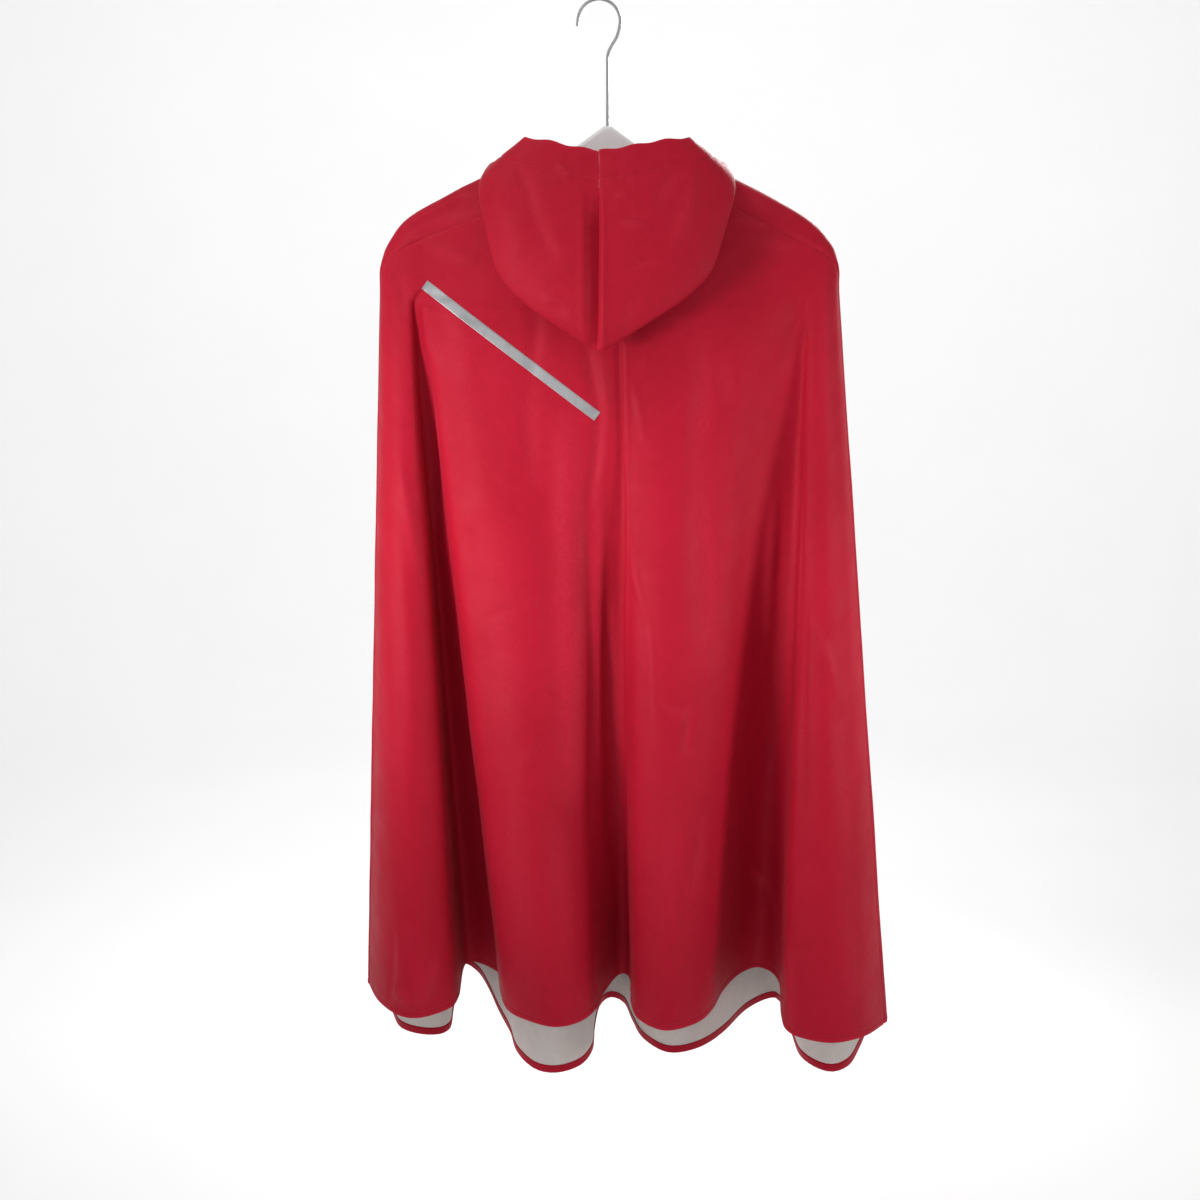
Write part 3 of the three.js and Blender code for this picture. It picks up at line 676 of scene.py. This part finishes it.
coated = cloth_finish("coated_red", (COAT_RED, COAT_DEEP, COAT_RUBBED), 0.56, 0.0007, 0.35, 0.02, 0.22)
knit = cloth_finish("pale_knit", (KNIT_PALE, KNIT_SHADE, KNIT_PALE), 0.85, 0.0011, 0.9, 0.25, 0.2)
CAPE_MATERIALS = (coated, knit)


def thread_finish():
    material, tree, shader = new_material("red_thread", 0.6)
    place = place_of(tree, None)
    strands = noise(tree, place, 0.0006, 2.0)
    tree.links.new(blend_colours(tree, strands, COAT_DEEP, COAT_RED), shader.inputs["Base Color"])
    tree.links.new(bump(tree, strands, 0.0001, 0.6), shader.inputs["Normal"])
    return material


thread = thread_finish()
print("cloth finishes:", coated.name, knit.name, thread.name)


# %% The tape, the plastic and the wire
BEADS_PER_METRE = 2600.0
TAPE_GREY, TAPE_WORN = (0.35, 0.36, 0.37, 1), (0.20, 0.205, 0.215, 1)
PLASTIC_WHITE, PLASTIC_SCUFFED = (0.90, 0.885, 0.88, 1), (0.86, 0.845, 0.835, 1)
STEEL_BRIGHT, STEEL_DRAWN = (0.56, 0.56, 0.57, 1), (0.42, 0.42, 0.43, 1)


def tape_finish():
    material, tree, shader = new_material("bead_tape", 0.38, 0.35)
    place = place_of(tree, "cut")
    marks = spread(tree, noise(tree, place, 0.02, 4.0, 0.6), 0.0, 0.55, 0.5, 0.72)
    values = {"Vector": place, "Scale": BEADS_PER_METRE}
    beads = add_node(tree, "ShaderNodeTexVoronoi", values).outputs["Distance"]
    colour = blend_colours(tree, marks, TAPE_GREY, TAPE_WORN)
    rough = spread(tree, beads, 0.30, 0.46, 0.0, 0.6)
    link_finish(tree, shader, colour, rough, bump(tree, beads, 0.00008, 0.5))
    return material


def plastic_finish():
    material, tree, shader = new_material("white_plastic", 0.42)
    place = place_of(tree, None)
    scuffs = noise(tree, place, 0.05, 6.0, 0.65)
    colour = blend_colours(tree, spread(tree, scuffs, 0, 1), PLASTIC_WHITE, PLASTIC_SCUFFED)
    grain = bump(tree, noise(tree, place, 0.0015), 0.0001, 0.3)
    link_finish(tree, shader, colour, spread(tree, scuffs, 0.36, 0.52), grain)
    return material


def steel_finish():
    material, tree, shader = new_material("bright_wire", 0.24, 1.0)
    place = place_of(tree, None)
    stretched = add_node(tree, "ShaderNodeMapping", {"Vector": place, "Scale": (1.0, 1.0, 0.08)})
    drawn = noise(tree, stretched.outputs["Vector"], 0.0006, 3.0)
    colour = blend_colours(tree, drawn, STEEL_BRIGHT, STEEL_DRAWN)
    link_finish(tree, shader, colour, spread(tree, drawn, 0.18, 0.34), bump(tree, drawn, 0.00005, 0.4))
    return material


tape, plastic, steel = tape_finish(), plastic_finish(), steel_finish()
for node_name, material in (("hanger", plastic), ("hook", steel)):
    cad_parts[node_name].data.materials.clear()
    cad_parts[node_name].data.materials.append(material)
print("hard finishes:", tape.name, plastic.name, steel.name)

# %% [markdown]
# The cape's three panels
#
# The back is cut in two halves that meet in one long seam down the middle. The front is one piece
# that wraps over the shoulders, so its seams lie on the back, a hand's width behind the ridge. Each
# panel is read off the same net, a few millimetres at a time, and gets its own creases. At a seam
# the cloth rolls in, and the seam allowance behind it lifts the side that it is pressed to.

# %% Seams and hems in relief
SEAM_GAP = 0.3
GROOVE_TOP, GROOVE_FADE = -300, 60


def seam_relief(distance, shape, hanging):
    """The edge rolls in, the allowance lifts the cloth beside it, and a long seam pulls a groove."""
    allowance, groove, groove_width = shape
    roll = -1.0 * np.exp(-((distance / 1.5) ** 2))
    lifted = allowance * np.exp(-(((distance - 5.5) / 4.0) ** 2))
    slope = 0.45 * np.exp(-distance / groove_width) + 0.55 * np.exp(-6 * distance / groove_width)
    return roll + lifted - groove * slope * hanging


def hem_relief(from_hem):
    stitch_groove = -0.35 * np.exp(-(((from_hem - HEM_TURN + 1) / 0.9) ** 2))
    return stitch_groove + 0.25 * np.clip(1 - from_hem / HEM_TURN, 0, 1)


def rub_of(lift, from_hem, from_seams):
    """How worn each place is: high on creases and at hems and seams."""
    ridges = np.clip(np.abs(lift) / 6, 0, 0.35)
    hem = 0.7 * np.exp(-((from_hem / 2.0) ** 2))
    seams = 0.3 * np.exp(-((from_seams / 3.0) ** 2))
    return np.clip(ridges + hem + seams, 0, 1)


# %% One panel
HEM_ROWS_MM = (9.4, 8.3, 7.7, 7.0, 5.6, 4.0, 2.4, 1.1, 0.0)
ROW_STEP, BACK_STEP, FRONT_STEP = 5.2, 3.4, 8.0
COCKLE_HEIGHT, QUIET_SIDE, QUIET_TOP = 0.55, 14, 20


def cape_rows():
    net_rows = [CAPE_NET[k] for k in range(RINGS)]
    places = fine_places(net_rows, ROW_STEP, False)
    last_step = np.linalg.norm(CAPE_NET[-1] - CAPE_NET[-2], axis=1).mean()
    hem_places = RINGS - 1 - np.array(HEM_ROWS_MM) / last_step
    return np.concatenate([places[places < hem_places[0] - 0.01], hem_places])


ROWS = cape_rows()


def cape_panel(name, first, last, step, creases, seed, seams):
    start, end = COLUMN[first], COLUMN[last]
    end += len(FOLDS) if end <= start else 0
    lines = [CAPE_NET[:, k % len(FOLDS)] for k in range(start, end + 1)]
    columns = start + fine_places(lines, step, True)
    middle = on_net(CAPE_NET, columns, ROWS, True)
    along, down = run_lengths(middle, 1), run_lengths(middle, 0)
    from_left, from_right, from_hem = along, to_end(along, 1), to_end(down, 0)
    from_seams = np.minimum(from_left, from_right)
    quiet = np.clip(from_seams / QUIET_SIDE, 0, 1) * np.clip(down / QUIET_TOP, 0, 1)
    facing = grid_normals(middle)[..., 1]
    lift = np.zeros_like(along)
    for side, rows in creases:
        seen = np.clip(side * facing * 4, 0, 1)
        lift += crease_relief(middle[..., 0], middle[..., 2], rows) * seen
    lift = lift * np.clip(from_seams / 4, 0, 1)
    worn = rub_of(lift, from_hem, from_seams)
    lift += cockle(along, down, seed, COCKLE_HEIGHT) * quiet
    hanging = np.clip((GROOVE_TOP - middle[..., 2]) / GROOVE_FADE, 0, 1)
    lift += seam_relief(from_left, seams[0], hanging) + seam_relief(from_right, seams[1], hanging)
    lift += hem_relief(from_hem)
    middle = middle + grid_normals(middle) * lift[..., None]
    for edge, beside, from_edge in ((0, 3, from_left), (-1, -4, from_right)):
        inward = middle[:, beside] - middle[:, edge]
        inward /= np.linalg.norm(inward, axis=1, keepdims=True)
        middle += inward[:, None] * (SEAM_GAP / 2 * np.exp(-((from_edge / 3) ** 2)))[..., None]
    turned = from_hem < HEM_TURN
    extra = np.where(turned, HEM_EXTRA, 0.0)
    red_inside = np.zeros(turned.shape, bool)
    red_inside[-len(HEM_ROWS_MM) + 1:] = True
    return (*cloth_shell(name, middle, extra, red_inside, worn, CAPE_MATERIALS), from_hem, from_seams)


# %% The two back panels and the front
TOWARDS_BACK, TOWARDS_FRONT = -1, 1
# how far the allowance lifts the cloth, how deep the seam sinks and how far that reaches
FLAT_SIDE, PRESSED_SIDE = (0.1, 0, 1), (0.8, 0, 1)
CENTRE_LEFT, CENTRE_RIGHT = (0.1, 5.0, 13), (1.5, 5.0, 3.0)
PANELS = {
    "back_left_cloth": cape_panel(
        "back_left_cloth", "seam_left", "centre_seam", BACK_STEP,
        [(TOWARDS_BACK, BACK_LEFT_CREASES)], 11, (FLAT_SIDE, CENTRE_LEFT),
    ),
    "back_right_cloth": cape_panel(
        "back_right_cloth", "centre_seam", "seam_right", BACK_STEP,
        [(TOWARDS_BACK, BACK_RIGHT_CREASES)], 12, (CENTRE_RIGHT, FLAT_SIDE),
    ),
    "front_cloth": cape_panel(
        "front_cloth", "seam_right", "seam_left", FRONT_STEP,
        [(TOWARDS_BACK, SHOULDER_CREASES), (TOWARDS_FRONT, FRONT_CREASES)], 13,
        (PRESSED_SIDE, PRESSED_SIDE),
    ),
}


def one_side_area(grid):
    across, down = np.diff(grid, axis=1)[:-1], np.diff(grid, axis=0)[:, :-1]
    return np.linalg.norm(np.cross(across, down), axis=2).sum() * MM**2


for name, (piece, outside, *_) in PANELS.items():
    hem_width = run_lengths(outside, 1)[-1, -1] * MM
    length = run_lengths(outside, 0)[-1].max() * MM
    print(f"{name}: hem {hem_width:.3f} m, length {length:.3f} m, area {one_side_area(outside):.3f} m2")

# %% [markdown]
# The hood
#
# The hood hangs down the back like a flat bag. Each half is a strip of cloth that starts at the
# face edge, runs down the outside, folds under and comes back up to the neck seam. It is worked out
# strand by strand from a table, from the throat round to the middle of the back. The left half
# sinks into the middle seam, and the right half stands proud of it with a crisp edge.

# %% Hood strands
NECK_SEAM, NECK_RISE = 0.5, 0.3
HOOD_FIELDS = ("rim", "fold", "under", "face", "belly", "neck", "roll", "lean")
HOOD = [dict(zip(HOOD_FIELDS, row)) for row in (
    # width, y and z of the rim, the fold and the underside, then the other fields
    ((0, 60, -204), (0, 66, -213), (0, 63, -221), 180, 1, -90, 0, 1),
    ((36, 57, -196), (47, 64, -211), (46, 61, -220), 160, 2, -64, 0, 1),
    ((62, 38, -176), (90, 44, -197), (88, 41, -204), 130, 4, -36, 0.2, 1),
    ((72, 24, -163), (112, 29, -180), (106, 27, -184), 112, 5, -17, 0.4, 1),
    ((78, 6, -154), (122, 4, -166), (114, 2, -169.3), 95, 5, 0, 0.7, 1),
    ((85, -28, -147), (130, -40, -184), (118, -34, -183), 75, 8, 22, 1, 1),
    ((85, -54, -146), (131, -58, -204), (119, -44, -202), 60, 10, 38, 1, 0.9),
    ((76, -63, -147), (123, -66, -238), (110, -51, -232), 40, 12, 50, 1, 0.75),
    ((61, -67, -149), (112, -73, -278), (98, -57, -270), 25, 14, 60, 1, 0.6),
    ((45, -69, -152), (92, -80, -303), (80, -63, -294), 15, 16, 68, 1, 0.4),
    ((26, -71, -156), (50, -87, -333), (44, -69, -323), 6, 18, 78, 1, 0.2),
    ((0, -72, -160), (0, -90, -364), (0, -71, -352), 0, 19, 90, 1, 0),
)]
HOOD_LAST = len(HOOD) - 1
# how far from the rim to the fold, and what share of the belly bulges there
BELLY_POINTS = ((0.28, 0.7), (0.58, 1), (0.86, 0.7))


def held_weights(place, count):
    """Curve weights for one place whose ends are held, not run on."""
    base = min(int(place), count - 2)
    weights = np.zeros(count)
    for step, share in enumerate(spline_shares(place - base)):
        weights[min(max(base + step - 1, 0), count - 1)] += share
    return weights


def hood_strand(side, place):
    weights = held_weights(place, len(HOOD))
    value = {
        key: np.tensordot(weights, np.array([row[key] for row in HOOD], float), 1) for key in HOOD_FIELDS
    }
    centre = CENTRE_X * value["lean"]
    rim, fold, under = (value[key] * (side, 1, 1) + (centre, 0, 0) for key in ("rim", "fold", "under"))
    turn = math.radians(value["face"])
    face = np.array([side * math.sin(turn), -math.cos(turn), 0])
    belly, roll = value["belly"], value["roll"]
    angle = value["neck"] if side < 0 else 180 - value["neck"]
    edge = np.array(yoke_point(YOKE_RINGS[0], angle))
    up = edge - np.array(yoke_point(YOKE_RINGS[1], angle))
    neck = edge + up / np.linalg.norm(up) * NECK_SEAM + (0, 0, NECK_RISE)
    if place in (0, HOOD_LAST):
        neck[0] = centre
    # the cloth rolls over itself just above the neck seam
    high_roll = neck + face * (2 + 8 * roll) + (0, 0, 5 - 4 * roll)
    low_roll = neck + face * (1 + 3.5 * roll) + (0, 0, 3 + 4 * roll)
    outer = [mix(rim, fold, share) + face * belly * out for share, out in BELLY_POINTS]
    inner = mix(under, high_roll, 0.5) + face * 0.1 * belly
    return np.array([rim, *outer, fold, under, inner, high_roll, low_roll, neck])


# %% Hood relief
CASING, CASING_EXTRA, RIM_WAVE = 31, 0.8, 0.9
DIP_WIDTH, DIP_DEPTH = 17, 8.5
DIP_TOP, DIP_OPENS, DIP_END, DIP_CLOSES = -196, 40, -372, 14
OUTSIDE_LENGTH, OUTSIDE_FADE = 250, 30


def dip_envelope(z):
    """Where the middle seam of the hood sinks in: from below the casing to just above the tip."""
    opening = np.clip((DIP_TOP - z) / DIP_OPENS, 0, 1)
    closing = np.clip((z - DIP_END) / DIP_CLOSES, 0, 1)
    return opening * closing


def hood_relief(side, middle, from_rim, from_middle):
    x, z = middle[..., 0], middle[..., 2]
    faces_back = np.clip(-grid_normals(middle)[..., 1] * 3, 0, 1)
    outer_face = np.clip((OUTSIDE_LENGTH - from_rim) / OUTSIDE_FADE, 0, 1) * faces_back
    rows = HOOD_LEFT_CREASES if side < 0 else HOOD_RIGHT_CREASES
    creases = crease_relief(x, z, rows) * outer_face
    dip = dip_envelope(z) * outer_face
    if side < 0:
        sunk = -DIP_DEPTH * np.clip(1 - from_middle / DIP_WIDTH, 0, 1) ** 0.9
        edge = 0.8 * np.exp(-(((from_middle - DIP_WIDTH - 2) / 4) ** 2))
    else:
        sunk = -(DIP_DEPTH + 1) * np.exp(-((from_middle / 1.7) ** 2))
        edge = 1.2 * np.exp(-(((from_middle - 4.5) / 4) ** 2))
    casing = -0.6 * np.exp(-(((from_rim - CASING) / 1.2) ** 2))
    casing += 0.3 * np.clip((CASING - from_rim) / 3, 0, 1)
    along = run_lengths(middle, 1)
    gathers = np.sin(along / 1.9 + 1.3 * np.sin(along / 17)) * np.exp(-(((from_rim - CASING) / 8) ** 2))
    seam = -0.25 * np.exp(-((from_middle / 1.4) ** 2)) * (1 - dip)
    return creases + (sunk + edge) * dip + casing + 0.12 * gathers + seam, creases


# %% The two halves of the hood
HOOD_STEP = 3.0


def hood_half(name, side, seed):
    whole = [hood_strand(side, k) for k in range(len(HOOD))]
    places = fine_places(whole, HOOD_STEP, True)
    rows = fine_places(np.array(whole).transpose(1, 0, 2), HOOD_STEP, False)
    strands = np.array([hood_strand(side, place) for place in places]).transpose(1, 0, 2)
    middle = np.einsum("rj,jck->rck", curve_weights(rows, strands.shape[0], False), strands)
    if side > 0:
        middle = middle[:, ::-1]
    from_rim, along = run_lengths(middle, 0), run_lengths(middle, 1)
    from_middle = to_end(along, 1) if side < 0 else along
    lift, creases = hood_relief(side, middle, from_rim, from_middle)
    lift += cockle(along, from_rim, seed, 0.5) * np.clip(np.minimum(along, to_end(along, 1)) / 12, 0, 1)
    normals = grid_normals(middle)
    for column in (0, -1):
        normals[:, column, 0] = 0
        normals[:, column] /= np.maximum(np.linalg.norm(normals[:, column], axis=1, keepdims=True), 1e-9)
    middle = middle + normals * lift[..., None]
    middle[..., 2] += RIM_WAVE * np.sin(along / 5.3 + side) * np.exp(-((from_rim / 12) ** 2))
    middle[:, [0, -1], 0] += side * SEAM_GAP / 2
    worn = rub_of(creases, from_rim, from_middle)
    red_inside = from_rim < CASING
    extra = np.where(red_inside, CASING_EXTRA, 0.0)
    return (*cloth_shell(name, middle, extra, red_inside, worn, CAPE_MATERIALS), from_rim, from_middle)


HOOD_HALVES = {
    "hood_left_cloth": hood_half("hood_left_cloth", -1, 21),
    "hood_right_cloth": hood_half("hood_right_cloth", 1, 22),
}
for name, (piece, outside, *_) in HOOD_HALVES.items():
    width = run_lengths(outside, 1)[0, -1] * MM
    print(f"{name}: face edge {width:.3f} m, area {one_side_area(outside):.4f} m2")
CLOTHS = {**PANELS, **HOOD_HALVES}

# %% [markdown]
# The reflective tape
#
# A strip of tape is stuck and stitched across the left half of the back. To lie on the cloth as it
# is, creases and all, each of its points is found by looking straight at the back and asking where
# that line of sight meets the panel, which a BVH tree answers quickly.

# %% Lay the tape on the cloth
STRIP_FROM, STRIP_TO = np.array([-186.0, -294.0]), np.array([-2.0, -433.0])
STRIP_WIDTH, STRIP_CLEAR, STRIP_THICK = 11, 0.25, 0.45
STRIP_STEPS, STRIP_ACROSS = 150, (0.0, 0.03, 0.09, 0.3, 0.5, 0.7, 0.91, 0.97, 1.0)
STRIP_ROUNDED = np.array([0.35, 0.8, 1, 1, 1, 1, 1, 0.8, 0.35])[:, None, None]
SMOOTH_OVER = 9
back_mesh = PANELS["back_left_cloth"][0].data
outer_faces = [face for face in back_mesh.polygons if face.material_index == OUTER_SLOT]
back_tree = BVHTree.FromPolygons(
    [vertex.co for vertex in back_mesh.vertices], [tuple(face.vertices) for face in outer_faces],
)


def on_back(x, z):
    """The point and outward direction of the back panel at x and z, in mm."""
    hit, normal, _, _ = back_tree.ray_cast(Vector((x * MM, -1, z * MM)), Vector((0, 1, 0)))
    return np.array(hit) / MM, np.array(normal if normal.y < 0 else -normal)


def strip_grid():
    run = STRIP_TO - STRIP_FROM
    across = np.array([-run[1], run[0]]) / np.linalg.norm(run)
    points, normals = [], []
    for share in STRIP_ACROSS:
        line = [STRIP_FROM + run * t / STRIP_STEPS + across * (0.5 - share) * STRIP_WIDTH
                for t in range(STRIP_STEPS + 1)]
        hits = [on_back(x, z) for x, z in line]
        points.append([hit[0] for hit in hits])
        normals.append([hit[1] for hit in hits])
    points, normals = np.array(points), np.array(normals)
    kernel = np.ones(SMOOTH_OVER) / SMOOTH_OVER
    padded = np.pad(normals.mean(axis=0), ((SMOOTH_OVER // 2, SMOOTH_OVER // 2), (0, 0)), "edge")
    smooth = np.stack([np.convolve(padded[:, k], kernel, "valid") for k in range(3)], axis=1)
    smooth /= np.linalg.norm(smooth, axis=1, keepdims=True)
    return points, np.broadcast_to(smooth, points.shape)


def reflective_tape():
    points, normals = strip_grid()
    top = points + normals * (STRIP_CLEAR + STRIP_THICK * STRIP_ROUNDED)
    under = points + normals * STRIP_CLEAR * 0.4
    height, width = points.shape[:2]
    outer, inner, edges = shell_faces(height, width)
    uv = np.stack([run_lengths(points, 1), -run_lengths(points, 0)], axis=2).reshape(-1, 2)
    faces = np.concatenate([outer, inner, edges])
    both = np.concatenate([top.reshape(-1, 3), under.reshape(-1, 3)])
    piece = make_mesh("tape_strip", both, faces, np.zeros(len(faces)), (tape,), np.concatenate([uv, uv]))
    return piece, top, normals


strip, strip_top, strip_normals = reflective_tape()
strip_length = run_lengths(strip_top, 1)[4, -1]
print(f"tape: {strip_length:.0f} mm long, {len(strip.data.polygons) * 2} triangles")

# %% [markdown]
# Stitches
#
# Rows of thread hold the hems, the hood's casing and the tape. A stitch is a short, slightly flat
# bead of thread sunk a little into the cloth. One bead is made once, then placed again and again
# along a line that is read off the finished cloth, and each row is joined into one mesh.

# %% One bead of thread
BEAD_RINGS = ((-1.0, 0.25), (-0.82, 0.75), (-0.35, 1.0), (0.35, 1.0), (0.82, 0.75), (1.0, 0.25))
BEAD_SIDES = 6


def bead():
    turns = np.arange(BEAD_SIDES) * 2 * math.pi / BEAD_SIDES
    points = np.array([
        (at, size * math.cos(turn), size * math.sin(turn)) for at, size in BEAD_RINGS for turn in turns
    ])
    faces = []
    for ring in range(len(BEAD_RINGS) - 1):
        for k in range(BEAD_SIDES):
            a, b = ring * BEAD_SIDES + k, ring * BEAD_SIDES + (k + 1) % BEAD_SIDES
            faces.append((a, b, b + BEAD_SIDES, a + BEAD_SIDES))
    return points, np.array(faces)


def read_off(at, lengths, values):
    return np.stack([np.interp(at, lengths, values[:, k]) for k in range(3)], axis=1)


def walk(path, normals, pitch, first):
    """Places every pitch mm along a path, with the way it runs and its outward direction there."""
    lengths = np.concatenate([[0], np.cumsum(np.linalg.norm(np.diff(path, axis=0), axis=1))])
    at = np.arange(first, lengths[-1] - pitch * 0.6, pitch)
    way = read_off(at + 1, lengths, path) - read_off(at - 1, lengths, path)
    way /= np.linalg.norm(way, axis=1, keepdims=True)
    up = read_off(at, lengths, normals)
    up -= way * (up * way).sum(axis=1, keepdims=True)
    return read_off(at, lengths, path), way, up / np.linalg.norm(up, axis=1, keepdims=True)


def stitch_row(name, lines, pitch=3.4, length=2.6, thick=0.42, sink=0.08):
    points, faces = bead()
    all_points, all_faces = [], []
    for path, normals in lines:
        for place, way, up in zip(*walk(path, normals, pitch, pitch * 0.8)):
            side = np.cross(way, up)
            start = len(all_points) * len(points)
            shape = np.outer(points[:, 0], way) * length / 2
            shape += (np.outer(points[:, 1], side) + np.outer(points[:, 2], up) * 0.7) * thick / 2
            all_points.append(place + up * (thick * 0.2 - sink) + shape)
            all_faces.append(faces + start)
    faces = np.concatenate(all_faces)
    piece = make_mesh(name, np.concatenate(all_points), faces, np.zeros(len(faces)), (thread,))
    print(f"{name}: {len(all_points)} stitches, {len(faces) * 2} triangles")
    return piece


# %% Lines of stitching
def line_at(outside, normals, distance, wanted, axis):
    """The line on a piece's outside where a distance reaches the wanted value, row by row."""
    if axis == 1:
        outside, normals, distance = (grid.swapaxes(0, 1) for grid in (outside, normals, distance))
    path, ups = [], []
    for column in range(outside.shape[1]):
        order = np.argsort(distance[:, column])
        near = distance[order, column]
        path.append([np.interp(wanted, near, outside[order, column, k]) for k in range(3)])
        ups.append([np.interp(wanted, near, normals[order, column, k]) for k in range(3)])
    return np.array(path), np.array(ups)


stitches = {}
for name, (_, outside, normals, from_hem, _) in PANELS.items():
    row_name = name.replace("_cloth", "_hem_stitches")
    stitches[name] = stitch_row(row_name, [line_at(outside, normals, from_hem, HEM_TURN - 1, 0)])
for name, (_, outside, normals, from_rim, _) in HOOD_HALVES.items():
    row_name = name.replace("_cloth", "_casing_stitches")
    stitches[name] = stitch_row(row_name, [line_at(outside, normals, from_rim, CASING, 0)])
tape_edges = [(strip_top[k], strip_normals[k]) for k in (2, -3)]
stitches["tape"] = stitch_row("tape_stitches", tape_edges, 2.6, 1.9, 0.3, 0.05)

# %% [markdown]
# What each piece stands for
#
# The shells replace the plain CAD panels, which stay in the frame for collision. The hanger and its
# hook are right as they are, and only got a better finish. Each cloth piece, each row of stitches and
# the tape hang from the root body, and the CAD parts that the cloth and the tape replace are hidden.

for name, (piece, *_) in CLOTHS.items():
    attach(piece, "root")
    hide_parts(name.replace("_cloth", ""))
for piece in stitches.values():
    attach(piece, "root")
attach(strip, "root")
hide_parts("reflective_strip")
print("pieces declared:", len(CLOTHS) + len(stitches) + 1)

# %% [markdown]
# The studio
#
# A pale floor that curves up into a wall all round keeps the background plain from every side. Big
# soft lamps alone would fill the deep folds with light. So a narrow key lamp at chest height on the
# left lights the left faces of the folds, and a weaker one on the right lights the far side. A wider
# lamp high on the left lights the shoulders and the hood. A lamp on the far side lights the front
# for the views from there, one at the wall keeps the background bright, and a plain white sky
# softens all the shadows.

# %% Floor and wall in one curve
FLOOR_Z, FLAT_RADIUS, CURVE_RADIUS, WALL_TOP = -1.75, 3.6, 1.5, 1.6
FLOOR_RINGS, CURVE_STEPS, SIDES = (0.02, 1.2, 2.4), 13, 96
PAPER, PAPER_SHADE = (0.93, 0.93, 0.93, 1), (0.90, 0.90, 0.90, 1)


def cove():
    bends = np.radians(np.linspace(0, 90, CURVE_STEPS))
    profile = [(r, FLOOR_Z) for r in FLOOR_RINGS]
    profile += [
        (FLAT_RADIUS + CURVE_RADIUS * math.sin(bend), FLOOR_Z + CURVE_RADIUS * (1 - math.cos(bend)))
        for bend in bends
    ]
    profile += [(FLAT_RADIUS + CURVE_RADIUS, WALL_TOP)]
    points = np.array([
        (r * math.sin(turn), r * math.cos(turn), z)
        for r, z in profile for turn in np.arange(SIDES) * 2 * math.pi / SIDES
    ])
    faces = [
        (ring + k, ring + (k + 1) % SIDES, ring + SIDES + (k + 1) % SIDES, ring + SIDES + k)
        for ring in range(0, (len(profile) - 1) * SIDES, SIDES) for k in range(SIDES)
    ]
    faces.append(tuple(reversed(range(SIDES))))
    mesh = bpy.data.meshes.new("studio_floor")
    mesh.from_pydata(points.tolist(), [], faces)
    mesh.shade_smooth()
    piece = bpy.data.objects.new("studio_floor", mesh)
    bpy.context.scene.collection.objects.link(piece)
    material, tree, shader = new_material("pale_paper", 0.9)
    paper = noise(tree, place_of(tree, None), 0.4)
    colour = blend_colours(tree, paper, PAPER, PAPER_SHADE)
    tree.links.new(colour, shader.inputs["Base Color"])
    mesh.materials.append(material)
    return piece


floor = cove()


# %% Lamps and sky
WARM, COOL, WHITE = (1.0, 0.985, 0.98), (1.0, 0.99, 1.0), (1.0, 1.0, 1.0)
LAMPS = (
    # name, place, aim, width, spread in degrees, watts, colour
    ("key_lamp", (-0.83, -0.78, -0.55), (-0.05, 0, -0.55), 0.3, 60, 1.12, WARM),
    ("side_lamp", (1.235, -0.60, -0.545), (0.2, 0, -0.65), 0.3, 60, 0.85, WARM),
    ("high_lamp", (-0.757, -0.727, 0.826), (-0.03, 0, -0.40), 0.5, 180, 6.6, COOL),
    ("front_lamp", (1.3, 2.3, 0.7), (0.0, 0, -0.6), 1.0, 100, 18, WHITE),
    ("wall_lamp", (0, 1.4, 1.3), (0, 5.1, -1.0), 2.0, 180, 72, WHITE),
)
SKY_STRENGTH = 0.53


def soft_lamp(name, place, aim, size, spread_degrees, watts, colour):
    lamp = bpy.data.lights.new(name, "AREA")
    lamp.shape, lamp.size = "DISK", size
    lamp.spread = math.radians(spread_degrees)
    lamp.energy, lamp.color = watts, colour
    holder = bpy.data.objects.new(name, lamp)
    holder.location = place
    holder.rotation_euler = (Vector(aim) - Vector(place)).to_track_quat("-Z", "Y").to_euler()
    holder.visible_camera = False
    bpy.context.scene.collection.objects.link(holder)


for lamp_row in LAMPS:
    soft_lamp(*lamp_row)
sky = bpy.data.worlds.new("studio_sky")
sky.use_nodes = True
sky.node_tree.nodes["Background"].inputs["Color"].default_value = (*WHITE, 1)
sky.node_tree.nodes["Background"].inputs["Strength"].default_value = SKY_STRENGTH
bpy.context.scene.world = sky
print("lamps:", len(LAMPS))
bpy.context.scene.view_settings.view_transform = "Standard"

# %% [markdown]
# The camera
#
# The camera stands behind the cape, a little under two metres away and tilted down. A camera can be
# placed by eye, but here its place, tilt and lens were worked out from where the corners and the
# hems of the cape fall in the photograph, so that render and photograph can be laid over each other.

# %% The camera
CAMERA_PLACE = (0.001052, -1.780, -0.3312)
CAMERA_TILT = math.radians(9.8475)
SENSOR_WIDTH, LENS = 36, 48.3916
camera = bpy.data.objects.new("studio_camera", bpy.data.cameras.new("studio_camera"))
camera.location = CAMERA_PLACE
camera.rotation_euler = (math.pi / 2 - CAMERA_TILT, 0, 0)
camera.data.sensor_width = SENSOR_WIDTH
camera.data.lens = LENS
bpy.context.scene.collection.objects.link(camera)
bpy.context.scene.camera = camera
print("camera:", CAMERA_PLACE, "lens", LENS)
